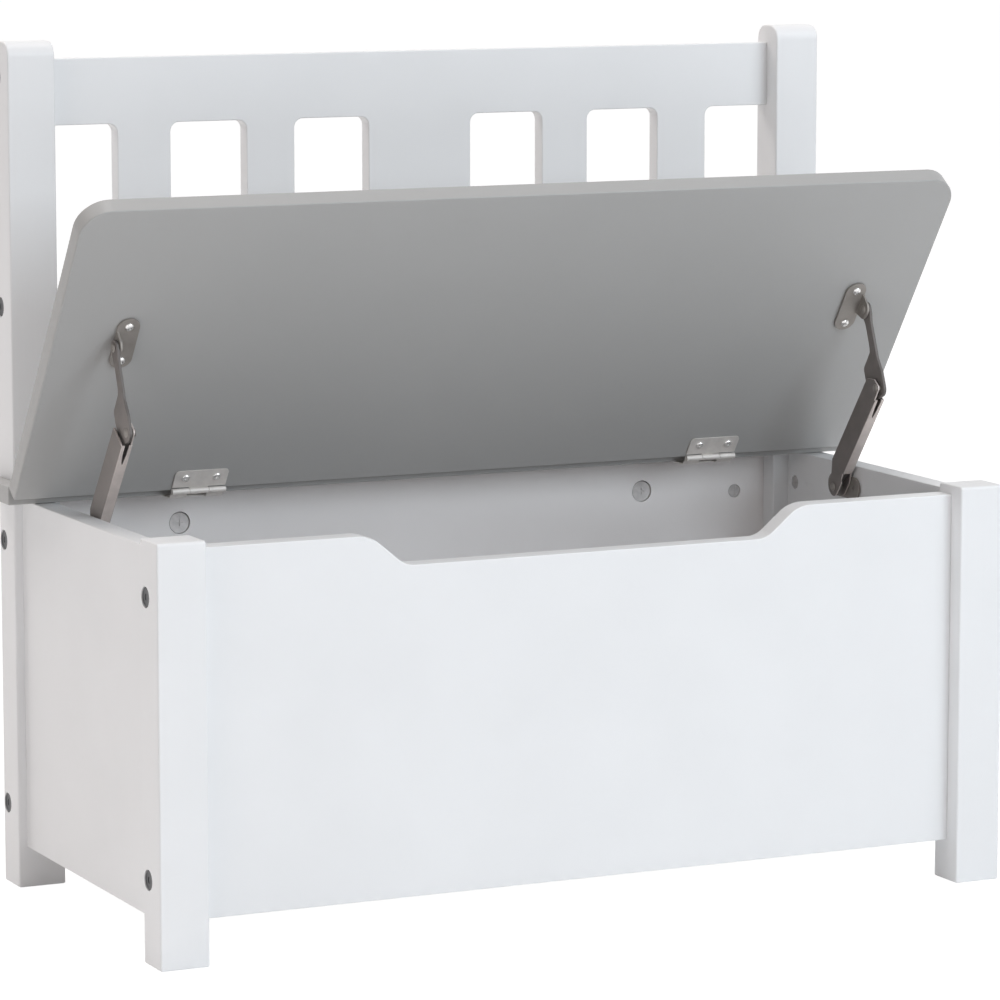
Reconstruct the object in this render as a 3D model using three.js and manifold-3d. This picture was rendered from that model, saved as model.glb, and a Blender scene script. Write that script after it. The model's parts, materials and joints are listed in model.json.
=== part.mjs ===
// A low storage bench: a board box on four legs, a slotted backrest between the two tall
// rear posts, and a seat lid on two hinges, held open by two folding stays.
// Units are millimetres. X runs across the bench, Y to the back, Z up.
// The origin is on the floor, in the middle of the bench.
import Module from "manifold-3d";
import * as THREE from "three";
import { mergeVertices } from "three/addons/utils/BufferGeometryUtils.js";

// ---------------------------------------------------------------- driving dimensions
const fit = 0.3; // gap left between any two pieces that touch

// frame
const bodyWidth = 590; // across the outer faces of the posts and legs
const bodyDepth = 280; // front of the legs to the back of the posts
const postHeight = 550;
const legHeight = 262;
const legWidth = 32;
const legDepth = 28;
const legRound = 2; // rounded edges of posts and legs
const postTopRadius = 10; // rounded top of the rear posts, seen from the side
const legTopRadius = 3; // rounded top of the front legs, seen from the side

// boards of the box
const boardThickness = 15;
const backThickness = 12;
const boardRound = 2;
const boxClearance = 27; // floor to the lower edge of the boards
const boxDrop = 6; // top of the legs to the upper edge of the boards
const sideInset = 5.5; // outer face of a leg to the outer face of the side board
const frontSetback = 12.5; // front of the legs to the front board
const backSetback = 14.5; // front of the posts to the back boards
const bottomThickness = 9;
const bottomRise = 8; // lower edge of the boards to the groove for the bottom
const grooveDepth = 5;

// hand cut-out in the front board
const cutoutTopWidth = 300;
const cutoutFloorWidth = 252;
const cutoutDepth = 20;
const cutoutLipRadius = 22;
const cutoutFootRadius = 16;

// backrest
const railHeight = 43; // top rail and lower rail
const railDrop = 12; // top of the posts to the top rail
const seatToRail = 77.7; // top of the seat to the lower rail
const slatWidth = 34;
const centreSlatWidth = 74.5;
const endSlatWidth = 37;
const endSlotWidth = 47.75; // end slat to the post; the other slots share the rest
const slotCornerRadius = 6;

// seat
const seatOverhang = 12.5; // seat past the outer faces of the posts
const seatThickness = 12;
const seatRound = 1.5;
const lidOverhang = 21.1; // lid past the front of the legs, closed
const lidCornerRadius = 20;
const stripDepth = 51.5; // fixed rear strip of the seat
const hingeSetback = 12.7; // front of the fixed strip to the hinge axis
const lidTail = 0.6; // hinge axis to the rear edge of the lid
const lidOpenAngle = THREE.MathUtils.degToRad(55.2);

// hinges
const hingeInset = { left: 125.5, right: 114.5 }; // side edge of the lid to a hinge
const hingeWidth = 37;
const knuckleRadius = 2;
const leafThickness = 0.8;
const lidLeafDepth = 16.5; // hinge axis to the free edge of the leaf
const fixedLeafDepth = 30;
const middleKnuckle = 13;
const leafCorner = 3;
const hingePinRadius = knuckleRadius - leafThickness - fit;
const hingeScrewSpacing = 21.5;
const hingeScrewInset = 10.4; // hinge axis to the screws in the lid
const fixedScrewInset = 22; // hinge axis to the screws in the strip
const screwHoleRadius = 1.7;

// connector bolts and their barrel nuts
const boltRadius = 3;
const boltHeadRadius = 6.2;
const boltHeadThickness = 2.5;
const boltHeadRecess = 0.4; // face of the wood to the bolt head
const boltPastNut = 3;
const hexKeySize = 4; // across the flats
const hexKeyDepth = 3;
const nutRadius = 4.5;
const nutDistance = 23; // end of the board to the nut
const nutRecess = 0.5; // face of the board to the nut
const nutCover = 1.5; // wood left behind a nut
const boxTopBoltDrop = 29; // upper edge of the box boards to their upper bolts
const boxLowBoltRise = 26; // lower edge of the box boards to their lower bolts
const railTopBoltDrop = 11;
const railLowBoltDrop = 10;
const crossBoltStep = 7.2; // bolts through the posts' backs, above the bolts from the side

// cam fittings between the back board and the fixed strip
const camInset = { left: 88.3, right: 95.4 }; // post to the cam
const camRadius = 7;
const camCover = 2.5; // wood left behind a cam
const camDrop = 25; // upper edge of the back board to the cam
const camBoltCover = 3; // wood left above a cam bolt

// folding lid stays
const sheet = 1.5; // base plates and lid brackets
const channelWidth = 7.6;
const channelWall = 1.2;
const channelDepth = 17.2;
const channelPivotInset = 4.2; // front of the channel to its pivots
const channelLength = 92.4; // base pivot to elbow
const channelRearLength = 82; // base pivot to the upper rear corner
const channelWebBottom = 16; // base pivot to the lower end of the web
const webBelowElbow = 7.5;
const webSlotLength = 15;
const pivotLug = 6;
const armLength = 54.8; // elbow to the pivot on the lid
const armThickness = 2;
const armWidth = 7;
const armTopRadius = 5;
const elbowPlateReach = 16;
const basePivotDrop = 15.5; // upper edge of the side board to the base pivot
const basePivotSetback = 43.3; // hinge axis to the base pivot, level
const basePlateLength = 42;
const basePlateWidth = 15;
const baseScrewSpacing = 27;
const bracketDistance = 129.8; // rear edge of the lid to the middle of the bracket
const bracketLength = 40;
const bracketWidth = 15;
const bracketScrewSpacing = 27.7;
const bracketPivotDistance = 132.1; // rear edge of the lid to the pivot
const bracketPivotDrop = 7.5; // underside of the lid to the pivot
const earLug = 5.5;
const rivetRadius = 2;
const rivetHeadRadius = 3.6;
const rivetHead = 1.1;

// ---------------------------------------------------------------- derived places
const halfBody = bodyWidth / 2;
const innerX = halfBody - legWidth; // inner faces of the posts and legs
const frontY = -bodyDepth / 2;
const backY = bodyDepth / 2;
const legBackY = frontY + legDepth;
const postFrontY = backY - legDepth;
const sideOuterX = halfBody - sideInset;
const sideInnerX = sideOuterX - boardThickness;
const frontBoardY = frontY + frontSetback;
const frontBoardBackY = frontBoardY + boardThickness;
const backBoardY = postFrontY + backSetback;
const backBoardBackY = backBoardY + backThickness;

// the fixed strip lies on the box, and the lid on the legs
const boxTop = legHeight - boxDrop;
const stripZ = boxTop + fit;
const lidZ = legHeight + fit;
const stripFrontY = backBoardBackY - stripDepth;
const hingeY = stripFrontY - hingeSetback;
const hingeZ = lidZ - fit - knuckleRadius;
const lidUnderside = lidZ - hingeZ; // above the hinge axis
const fixedLeafTop = stripZ - fit - hingeZ; // from the hinge axis
const lidLength = hingeY + lidTail - (frontY - lidOverhang);

const seatWidth = bodyWidth + 2 * seatOverhang;
const camCentreX = { left: camInset.left - innerX, right: innerX - camInset.right };

const grooveZ = boxClearance + bottomRise;
const railTop = postHeight - railDrop;
const slotTop = railTop - railHeight;
const backrestBottom = stripZ + seatThickness + seatToRail;
const slotBottom = backrestBottom + railHeight;
const slatsAcross = centreSlatWidth / 2 + slatWidth + endSlatWidth;
const slotWidth = (innerX - slatsAcross - endSlotWidth) / 2;

const boxBoltHeights = [boxTop - boxTopBoltDrop, boxClearance + boxLowBoltRise];
const railBoltHeights = [railTop - railTopBoltDrop, slotBottom - railLowBoltDrop];
const nutX = innerX - nutDistance;
const boltEnd = nutX - nutRadius - boltPastNut;
const frontNutLength = boardThickness - nutRecess - nutCover;
const backNutLength = backThickness - nutRecess - nutCover;
const camLength = backThickness - nutRecess - camCover;

// the stays, seen from the side as points in Y and Z
const baseX = sideInnerX - fit - sheet / 2;
const channelX = baseX - sheet / 2 - fit - channelWidth / 2;
const earX = channelX - armThickness / 2 - fit - sheet / 2;
const basePivot = new THREE.Vector2(hingeY - basePivotSetback, boxTop - basePivotDrop);
const hingeAxis = new THREE.Vector2(hingeY, hingeZ);
const lidPivotClosed = new THREE.Vector2(
  lidTail - bracketPivotDistance,
  lidUnderside - bracketPivotDrop,
);
const stayOpen = solveStay(0);
const stayClosed = solveStay(lidOpenAngle);
const channelRatio = (stayClosed.channelAngle - stayOpen.channelAngle) / lidOpenAngle;
const armRatio = (stayClosed.armAngle - stayOpen.armAngle) / lidOpenAngle;

/** Where the stay's links are once the lid has closed by an angle from fully open. */
function solveStay(closing) {
  const lidPivot = turned(lidPivotClosed, closing - lidOpenAngle).add(hingeAxis);
  const span = lidPivot.clone().sub(basePivot);
  const distance = span.length();
  const along = (channelLength ** 2 - armLength ** 2 + distance ** 2) / (2 * distance);
  const aside = Math.sqrt(channelLength ** 2 - along ** 2);
  span.normalize();
  const elbow = new THREE.Vector2(
    basePivot.x + span.x * along - span.y * aside,
    basePivot.y + span.y * along + span.x * aside,
  );
  return {
    lidPivot,
    elbow,
    channelAngle: leanOf(elbow.clone().sub(basePivot)),
    armAngle: leanOf(lidPivot.clone().sub(elbow)),
  };
}

/** Angle about X that leans an upright link along a direction in Y and Z. */
function leanOf(direction) {
  return Math.atan2(-direction.x, direction.y);
}

/** A point in Y and Z turned about X. */
function turned(point, angle) {
  return point.clone().rotateAround(new THREE.Vector2(), angle);
}

// ---------------------------------------------------------------- materials
const white = { color: 0xe9ebec, roughness: 0.45, metalness: 0 };
const grey = { color: 0x8f8f8f, roughness: 0.5, metalness: 0 };
const nickel = { color: 0xa6a19c, roughness: 0.32, metalness: 0.9 };
const blackened = { color: 0x55565a, roughness: 0.45, metalness: 0.85 };
const zinc = { color: 0xb4b2b0, roughness: 0.4, metalness: 0.8 };

// ---------------------------------------------------------------- solid tools
const wasm = await Module();
wasm.setup();

function toSolid(geometry) {
  const bare = geometry.clone();
  bare.deleteAttribute("normal");
  bare.deleteAttribute("uv");
  const merged = mergeVertices(bare, 1e-4);
  return new wasm.Manifold(
    new wasm.Mesh({
      numProp: 3,
      vertProperties: Float32Array.from(merged.attributes.position.array),
      triVerts: Uint32Array.from(merged.index.array),
    }),
  );
}

function toGeometry(solid) {
  const { vertProperties, triVerts } = solid.getMesh();
  const geometry = new THREE.BufferGeometry();
  geometry.setAttribute("position", new THREE.BufferAttribute(vertProperties, 3));
  geometry.setIndex(new THREE.BufferAttribute(triVerts, 1));
  geometry.computeVertexNormals();
  return geometry;
}

function cut(geometry, ...tools) {
  const result = tools.reduce((solid, tool) => solid.subtract(toSolid(tool)), toSolid(geometry));
  return toGeometry(result);
}

function join(geometry, ...others) {
  const result = others.reduce((solid, other) => solid.add(toSolid(other)), toSolid(geometry));
  return toGeometry(result);
}

/** A mesh whose geometry is centred on itself and placed by its position. */
function piece(name, geometry, finish) {
  geometry.computeBoundingBox();
  const centre = geometry.boundingBox.getCenter(new THREE.Vector3());
  const mesh = new THREE.Mesh(
    geometry.clone().translate(-centre.x, -centre.y, -centre.z),
    new THREE.MeshStandardMaterial(finish),
  );
  mesh.name = name;
  mesh.position.copy(centre);
  return mesh;
}

/** A rod along "x", "y" or "z" between two stations, at the two other coordinates in order. */
function rod(axis, radius, start, end, [first, second], segments = 12) {
  const low = Math.min(start, end);
  const length = Math.abs(end - start);
  const geometry = new THREE.CylinderGeometry(radius, radius, length, segments);
  if (axis === "x") {
    geometry.rotateZ(-Math.PI / 2).translate(low + length / 2, first, second);
  } else if (axis === "y") {
    geometry.translate(first, low + length / 2, second);
  } else {
    geometry.rotateX(Math.PI / 2).translate(first, second, low + length / 2);
  }
  return geometry;
}

/** A block between two corners. */
function block(x0, x1, y0, y1, z0, z1) {
  return new THREE.BoxGeometry(Math.abs(x1 - x0), Math.abs(y1 - y0), Math.abs(z1 - z0)).translate(
    (x0 + x1) / 2,
    (y0 + y1) / 2,
    (z0 + z1) / 2,
  );
}

/** An outline through corner points [u, v, radius], each corner rounded by its own radius. */
function outline(corners) {
  const shape = new THREE.Shape();
  corners.forEach(([u, v, radius = 0], index) => {
    const before = corners[(index + corners.length - 1) % corners.length];
    const after = corners[(index + 1) % corners.length];
    const corner = new THREE.Vector2(u, v);
    const inward = new THREE.Vector2(before[0], before[1]).sub(corner).normalize();
    const outward = new THREE.Vector2(after[0], after[1]).sub(corner).normalize();
    const half = inward.angleTo(outward) / 2;
    const setback = radius / Math.tan(half);
    const start = corner.clone().addScaledVector(inward, setback);
    const end = corner.clone().addScaledVector(outward, setback);
    if (index === 0) {
      shape.moveTo(start.x, start.y);
    } else {
      shape.lineTo(start.x, start.y);
    }
    if (radius > 0) {
      const bisector = inward.clone().add(outward).normalize();
      const centre = corner.clone().addScaledVector(bisector, radius / Math.sin(half));
      const clockwise = inward.cross(outward) > 0;
      shape.absarc(
        centre.x,
        centre.y,
        radius,
        Math.atan2(start.y - centre.y, start.x - centre.x),
        Math.atan2(end.y - centre.y, end.x - centre.x),
        clockwise,
      );
    }
  });
  shape.closePath();
  return shape;
}

function rectangle(u0, u1, v0, v1, radius = 0) {
  return outline([
    [u0, v0, radius],
    [u1, v0, radius],
    [u1, v1, radius],
    [u0, v1, radius],
  ]);
}

const facings = {
  // outline drawn in Y and Z, thickness along X
  side: new THREE.Matrix4().makeBasis(
    new THREE.Vector3(0, 1, 0),
    new THREE.Vector3(0, 0, 1),
    new THREE.Vector3(1, 0, 0),
  ),
  // outline drawn in X and Z, thickness along -Y
  front: new THREE.Matrix4().makeBasis(
    new THREE.Vector3(1, 0, 0),
    new THREE.Vector3(0, 0, 1),
    new THREE.Vector3(0, -1, 0),
  ),
  // outline drawn in X and Y, thickness along Z
  top: new THREE.Matrix4(),
};

/** A board or plate: an outline given a thickness about a middle station, its edges rounded. */
function board(facing, shape, thickness, middle, round = 0, curveSegments = 2) {
  const geometry = new THREE.ExtrudeGeometry(shape, {
    depth: thickness - 2 * round,
    bevelEnabled: round > 0,
    bevelThickness: round,
    bevelSize: round,
    bevelOffset: -round,
    bevelSegments: 1,
    curveSegments,
  });
  geometry.translate(0, 0, round - thickness / 2);
  geometry.applyMatrix4(facings[facing]);
  const shift = { side: [middle, 0, 0], front: [0, middle, 0], top: [0, 0, middle] }[facing];
  return geometry.translate(...shift);
}

// ---------------------------------------------------------------- bolts and their holes
const sides = { left: -1, right: 1 };
const frontBoltY = (frontBoardY + frontBoardBackY) / 2;
const backBoltY = (backBoardY + backBoardBackY) / 2;
const headInner = halfBody - boltHeadRecess - boltHeadThickness;

/** Every connector bolt that enters from the side of a leg or post. */
const sideBolts = [];
for (const side of Object.keys(sides)) {
  const add = (place, y, z, nutFrom, nutTo) => {
    sideBolts.push({ side, place, y, z, nutFrom, nutTo });
  };
  const innerFront = frontBoardBackY - nutRecess;
  const innerBack = backBoardY + nutRecess;
  const rearFace = backBoardBackY - nutRecess;
  add("front_upper", frontBoltY, boxBoltHeights[0], innerFront, innerFront - frontNutLength);
  add("front_lower", frontBoltY, boxBoltHeights[1], innerFront, innerFront - frontNutLength);
  add("rear_upper", backBoltY, boxBoltHeights[0], innerBack, innerBack + backNutLength);
  add("rear_lower", backBoltY, boxBoltHeights[1], innerBack, innerBack + backNutLength);
  add("rail_upper", backBoltY, railBoltHeights[0], rearFace, rearFace - backNutLength);
  add("rail_lower", backBoltY, railBoltHeights[1], rearFace, rearFace - backNutLength);
}

/** Clearance for a bolt's head and shank, from outside the leg to past the nut. */
function boltBores({ side, y, z }) {
  const sign = sides[side];
  return [
    rod("x", boltHeadRadius + fit, sign * (headInner - fit), sign * (halfBody + 5), [y, z]),
    rod("x", boltRadius + fit, sign * (boltEnd - fit), sign * halfBody, [y, z], 10),
  ];
}

/** The blind hole for a barrel nut, open at the face that the nut enters from. */
function nutBore({ side, z, nutFrom, nutTo }) {
  const inward = Math.sign(nutTo - nutFrom);
  const mouth = nutFrom - inward * 5;
  const floor = nutTo + inward * fit;
  return rod("y", nutRadius + fit, mouth, floor, [sides[side] * nutX, z]);
}

function makeBolt(bolt) {
  const sign = sides[bolt.side];
  const centre = [bolt.y, bolt.z];
  const headOuter = headInner + boltHeadThickness;
  const head = rod("x", boltHeadRadius, sign * headInner, sign * headOuter, centre);
  const shankEnd = sign * (headInner + boltHeadThickness / 2);
  const shank = rod("x", boltRadius, sign * boltEnd, shankEnd, centre, 10);
  const keyCorner = hexKeySize / Math.sqrt(3);
  const keyFloor = sign * (headOuter - hexKeyDepth);
  const key = rod("x", keyCorner, keyFloor, sign * (headOuter + 1), centre, 6);
  return piece(`bolt_${bolt.side}_${bolt.place}`, cut(join(head, shank), key), blackened);
}

function makeNut(nut) {
  const centre = [sides[nut.side] * nutX, nut.z];
  const barrel = rod("y", nutRadius, nut.nutFrom, nut.nutTo, centre);
  const thread = rod("x", boltRadius + fit, centre[0] - 10, centre[0] + 10, [nut.y, nut.z], 10);
  return piece(`barrel_nut_${nut.side}_${nut.place}`, cut(barrel, thread), zinc);
}

const crossBoltX = (sideOuterX + sideInnerX) / 2;
const crossBoltHeights = boxBoltHeights.map((z) => z + crossBoltStep);
const crossNutY = postFrontY - 10;

/** Holes for the bolts that pass through a post from behind into the side board. */
function crossBoltBores(sign) {
  return crossBoltHeights.flatMap((z) => {
    const centre = [sign * crossBoltX, z];
    const headFloor = backY - boltHeadRecess - boltHeadThickness - fit;
    return [
      rod("y", boltHeadRadius + fit, headFloor, backY + 5, centre),
      rod("y", boltRadius + fit, crossNutY - 12, backY, centre, 10),
    ];
  });
}

function crossNutBores(sign) {
  return crossBoltHeights.map((z) =>
    rod("x", nutRadius + fit, sign * (sideInnerX - 5), sign * (sideInnerX + 12), [crossNutY, z]),
  );
}

// ---------------------------------------------------------------- wooden parts
function rearPost(side) {
  const profile = outline([
    [postFrontY, 0],
    [backY, 0],
    [backY, postHeight, postTopRadius],
    [postFrontY, postHeight, postTopRadius],
  ]);
  const middle = sides[side] * (halfBody - legWidth / 2);
  const blank = board("side", profile, legWidth, middle, legRound);
  const bolts = sideBolts.filter((bolt) => bolt.side === side && !bolt.place.startsWith("front"));
  const bores = bolts.flatMap(boltBores).concat(crossBoltBores(sides[side]));
  return piece(`rear_post_${side}`, cut(blank, ...bores), white);
}

function frontLeg(side) {
  const profile = outline([
    [frontY, 0],
    [legBackY, 0],
    [legBackY, legHeight, legTopRadius],
    [frontY, legHeight, legTopRadius],
  ]);
  const middle = sides[side] * (halfBody - legWidth / 2);
  const blank = board("side", profile, legWidth, middle, legRound, 1);
  const bolts = sideBolts.filter((bolt) => bolt.side === side && bolt.place.startsWith("front"));
  return piece(`front_leg_${side}`, cut(blank, ...bolts.flatMap(boltBores)), white);
}

function bottomGroove(x0, x1, y0, y1) {
  return block(x0, x1, y0, y1, grooveZ - fit, grooveZ + bottomThickness + fit);
}

function sidePanel(side) {
  const sign = sides[side];
  const profile = rectangle(legBackY + fit, postFrontY - fit, boxClearance, boxTop);
  const middle = (sign * (sideOuterX + sideInnerX)) / 2;
  const blank = board("side", profile, boardThickness, middle, boardRound);
  const groove = bottomGroove(
    sign * (sideInnerX - 5),
    sign * (sideInnerX + grooveDepth),
    frontY,
    backY,
  );
  const bolts = crossBoltBores(sign).concat(crossNutBores(sign));
  return piece(`side_panel_${side}`, cut(blank, groove, ...bolts), white);
}

function frontPanel() {
  const reach = innerX - fit;
  const halfTop = cutoutTopWidth / 2;
  const halfFloor = cutoutFloorWidth / 2;
  const cutoutZ = boxTop - cutoutDepth;
  const profile = outline([
    [-reach, boxClearance],
    [reach, boxClearance],
    [reach, boxTop],
    [halfTop, boxTop, cutoutLipRadius],
    [halfFloor, cutoutZ, cutoutFootRadius],
    [-halfFloor, cutoutZ, cutoutFootRadius],
    [-halfTop, boxTop, cutoutLipRadius],
    [-reach, boxTop],
  ]);
  const middle = frontBoltY;
  const blank = board("front", profile, boardThickness, middle, boardRound);
  const grooveY = frontBoardBackY - grooveDepth;
  const groove = bottomGroove(-halfBody, halfBody, grooveY, frontBoardBackY + 5);
  const bolts = sideBolts.filter((bolt) => bolt.place.startsWith("front"));
  const bores = bolts.flatMap((bolt) => [boltBores(bolt)[1], nutBore(bolt)]);
  return piece("front_panel", cut(blank, groove, ...bores), white);
}

function backPanel() {
  const reach = innerX - fit;
  const profile = rectangle(-reach, reach, boxClearance, boxTop);
  const middle = backBoltY;
  const blank = board("front", profile, backThickness, middle, boardRound);
  const groove = bottomGroove(-halfBody, halfBody, backBoardY - 5, backBoardY + grooveDepth);
  const bolts = sideBolts.filter((bolt) => /^rear/.test(bolt.place));
  const bores = bolts.flatMap((bolt) => [boltBores(bolt)[1], nutBore(bolt)]);
  const camBores = Object.keys(sides).flatMap((side) => [camBore(side), camBoltBore(side)]);
  return piece("back_panel", cut(blank, groove, ...bores, ...camBores), white);
}

function bottomPanel() {
  const reachX = sideInnerX + grooveDepth - fit;
  const notchX = innerX - fit;
  const frontEdge = frontBoardBackY - grooveDepth + fit;
  const backEdge = backBoardY + grooveDepth - fit;
  const frontNotch = legBackY + fit;
  const backNotch = postFrontY - fit;
  const profile = outline([
    [-notchX, frontEdge],
    [notchX, frontEdge],
    [notchX, frontNotch],
    [reachX, frontNotch],
    [reachX, backNotch],
    [notchX, backNotch],
    [notchX, backEdge],
    [-notchX, backEdge],
    [-notchX, backNotch],
    [-reachX, backNotch],
    [-reachX, frontNotch],
    [-notchX, frontNotch],
  ]);
  const middle = grooveZ + bottomThickness / 2;
  return piece("bottom_panel", board("top", profile, bottomThickness, middle), white);
}

function backrestPanel() {
  const reach = innerX - fit;
  const firstSlot = centreSlatWidth / 2;
  const secondSlot = firstSlot + slotWidth + slatWidth;
  const endSlot = secondSlot + slotWidth + endSlatWidth;
  const radius = slotCornerRadius;
  const profile = outline([
    [-reach, backrestBottom],
    [reach, backrestBottom],
    [reach, slotBottom],
    [endSlot, slotBottom, radius],
    [endSlot, slotTop, radius],
    [reach, slotTop],
    [reach, railTop],
    [-reach, railTop],
    [-reach, slotTop],
    [-endSlot, slotTop, radius],
    [-endSlot, slotBottom, radius],
    [-reach, slotBottom],
  ]);
  for (const start of [firstSlot, secondSlot]) {
    for (const [u0, u1] of [
      [start, start + slotWidth],
      [-start - slotWidth, -start],
    ]) {
      profile.holes.push(rectangle(u0, u1, slotBottom, slotTop, radius));
    }
  }
  const middle = backBoltY;
  const blank = board("front", profile, backThickness, middle, boardRound, 1);
  const bolts = sideBolts.filter((bolt) => bolt.place.startsWith("rail"));
  const bores = bolts.flatMap((bolt) => [boltBores(bolt)[1], nutBore(bolt)]);
  return piece("backrest_panel", cut(blank, ...bores), white);
}

/** The fixed rear strip of the seat, notched round the posts. */
function seatStrip() {
  const halfSeat = seatWidth / 2;
  const postOuter = halfBody + fit;
  const postInner = innerX - fit;
  const notchY = postFrontY - fit;
  const profile = outline([
    [-halfSeat, stripFrontY],
    [halfSeat, stripFrontY],
    [halfSeat, backBoardBackY],
    [postOuter, backBoardBackY],
    [postOuter, notchY],
    [postInner, notchY],
    [postInner, backBoardBackY],
    [-postInner, backBoardBackY],
    [-postInner, notchY],
    [-postOuter, notchY],
    [-postOuter, backBoardBackY],
    [-halfSeat, backBoardBackY],
  ]);
  const blank = board("top", profile, seatThickness, stripZ + seatThickness / 2, seatRound);
  const bores = Object.keys(sides).map(camBoltBore);
  return piece("seat_rear_strip", cut(blank, ...bores), grey);
}

// ---------------------------------------------------------------- cam fittings
const camZ = boxTop - camDrop;
const camBoltTop = stripZ + seatThickness - camBoltCover;

function camBore(side) {
  const centre = [camCentreX[side], camZ];
  return rod("y", camRadius + fit, backBoardY - 5, backBoardY + nutRecess + camLength + fit, centre, 16);
}

function camBoltBore(side) {
  const centre = [camCentreX[side], backBoltY];
  return rod("z", boltRadius + fit, camZ, camBoltTop + fit, centre, 10);
}

function makeCam(side) {
  const x = camCentreX[side];
  const front = backBoardY + nutRecess;
  const disc = rod("y", camRadius, front, front + camLength, [x, camZ], 16);
  const mouth = rod("z", boltRadius + fit, camZ - 2, camZ + 10, [x, backBoltY], 10);
  const slot = block(
    x - 4,
    x + 4,
    front - 1,
    front + 1.2,
    camZ - 0.6,
    camZ + 0.6,
  );
  return piece(`cam_lock_${side}`, cut(disc, mouth, slot), zinc);
}

function makeCamBolt(side) {
  const centre = [camCentreX[side], backBoltY];
  return piece(
    `cam_bolt_${side}`,
    rod("z", boltRadius, camZ + fit, camBoltTop, centre, 10),
    zinc,
  );
}

// ---------------------------------------------------------------- hinges, about their axis
function knuckle(x0, x1) {
  return rod("x", knuckleRadius, x0, x1, [0, 0]);
}

/** A leaf's plate from clear of the knuckles to its free edge, with two screw holes. */
function leafPlate(direction, clear, depth, screwInset, z) {
  const half = hingeWidth / 2;
  const near = direction * clear;
  const far = direction * depth;
  const shape = outline([
    [-half, near],
    [half, near],
    [half, far, leafCorner],
    [-half, far, leafCorner],
  ]);
  const holes = [-1, 1].map((sign) => {
    const centre = [(sign * hingeScrewSpacing) / 2, direction * screwInset];
    return rod("z", screwHoleRadius, -10, 10, centre, 8);
  });
  return cut(board("top", shape, leafThickness, z, 0, 1), ...holes);
}

/** One knuckle of the lid's leaf and the tongue that carries it to the plate. */
function knuckleOnTongue(x0, x1, reach, z) {
  const tongue = block(x0, x1, 0, -reach, z - leafThickness / 2, z + leafThickness / 2);
  return join(tongue, knuckle(x0, x1));
}

/** One knuckle of the fixed leaf, whose tongue is cranked down to pass under the strip. */
function knuckleOnCrank(x0, x1, reach) {
  const low = fixedLeafTop - leafThickness;
  const run = -knuckleRadius - low;
  const bend = knuckleRadius + fit;
  const slant = leafThickness * (Math.SQRT2 - 1);
  const profile = outline([
    [0, -knuckleRadius],
    [bend, -knuckleRadius],
    [bend + run, low],
    [reach, low],
    [reach, fixedLeafTop],
    [bend + run + slant, fixedLeafTop],
    [bend + slant, leafThickness - knuckleRadius],
    [0, leafThickness - knuckleRadius],
  ]);
  const tongue = board("side", profile, Math.abs(x1 - x0), (x0 + x1) / 2);
  return join(tongue, knuckle(x0, x1));
}

function pinHole() {
  return rod("x", hingePinRadius + fit, -hingeWidth, hingeWidth, [0, 0]);
}

/** The leaf screwed under the lid, with the middle knuckle. */
function lidLeaf(side) {
  const z = knuckleRadius - leafThickness / 2;
  const clear = knuckleRadius + fit;
  const plate = leafPlate(-1, clear, lidLeafDepth, hingeScrewInset, z);
  const middle = knuckleOnTongue(-middleKnuckle / 2, middleKnuckle / 2, clear + fit, z);
  return piece(`hinge_${side}_lid_leaf`, cut(join(plate, middle), pinHole()), nickel);
}

/** The leaf screwed under the fixed strip, with the two outer knuckles. */
function fixedLeaf(side) {
  const z = fixedLeafTop - leafThickness / 2;
  const clear = 2 * knuckleRadius + leafThickness - fixedLeafTop;
  const plate = leafPlate(1, clear - fit, fixedLeafDepth, fixedScrewInset, z);
  const inner = middleKnuckle / 2 + fit;
  const outers = [-1, 1].map((sign) =>
    knuckleOnCrank(sign * inner, (sign * hingeWidth) / 2, clear + fit),
  );
  return piece(`hinge_${side}_fixed_leaf`, cut(join(plate, ...outers), pinHole()), nickel);
}

function hingePin(side) {
  const half = hingeWidth / 2;
  return piece(`hinge_${side}_pin`, rod("x", hingePinRadius, -half, half, [0, 0], 10), nickel);
}

// ---------------------------------------------------------------- lid stays
function rivetHole(x, centre) {
  return rod("x", rivetRadius + fit, x - channelWidth, x + channelWidth, centre);
}

/** The open-backed channel, upright on its base pivot, its web to the front. */
function stayChannel(side) {
  const front = -channelPivotInset;
  const rear = front + channelDepth;
  const elbow = channelLength;
  const profile = outline([
    [front, channelWebBottom, 2],
    [-pivotLug, 4, 2],
    [-pivotLug, -pivotLug, pivotLug - 0.5],
    [pivotLug, -pivotLug, pivotLug - 0.5],
    [pivotLug + 2, 6],
    [rear, 14, 2],
    [rear, channelRearLength + webBelowElbow, 1.5],
    [pivotLug + 0.5, elbow + pivotLug, 2.5],
    [-pivotLug, elbow + pivotLug, pivotLug - 0.5],
    [-pivotLug, elbow - 3],
    [front, elbow - webBelowElbow, 0.5],
  ]);
  const blank = board("side", profile, channelWidth, 0, 0, 1);
  const inside = channelWidth / 2 - channelWall;
  const web = front + channelWall;
  const webTop = elbow - webBelowElbow;
  const hollow = block(-inside, inside, web, rear + 5, channelWebBottom - 2, webTop);
  const openTop = block(-inside, inside, -20, rear + 5, webTop - 0.01, elbow + 20);
  const openFoot = block(-inside, inside, -20, rear + 5, -20, channelWebBottom - 1.99);
  const slotHalf = armThickness / 2 + fit;
  const webSlot = block(-slotHalf, slotHalf, -20, 0, webTop - webSlotLength, elbow);
  const pivots = [0, elbow].map((z) => rivetHole(0, [0, z]));
  const tools = [hollow, openTop, openFoot, webSlot, ...pivots];
  return piece(`stay_${side}_channel`, cut(blank, ...tools), nickel);
}

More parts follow.
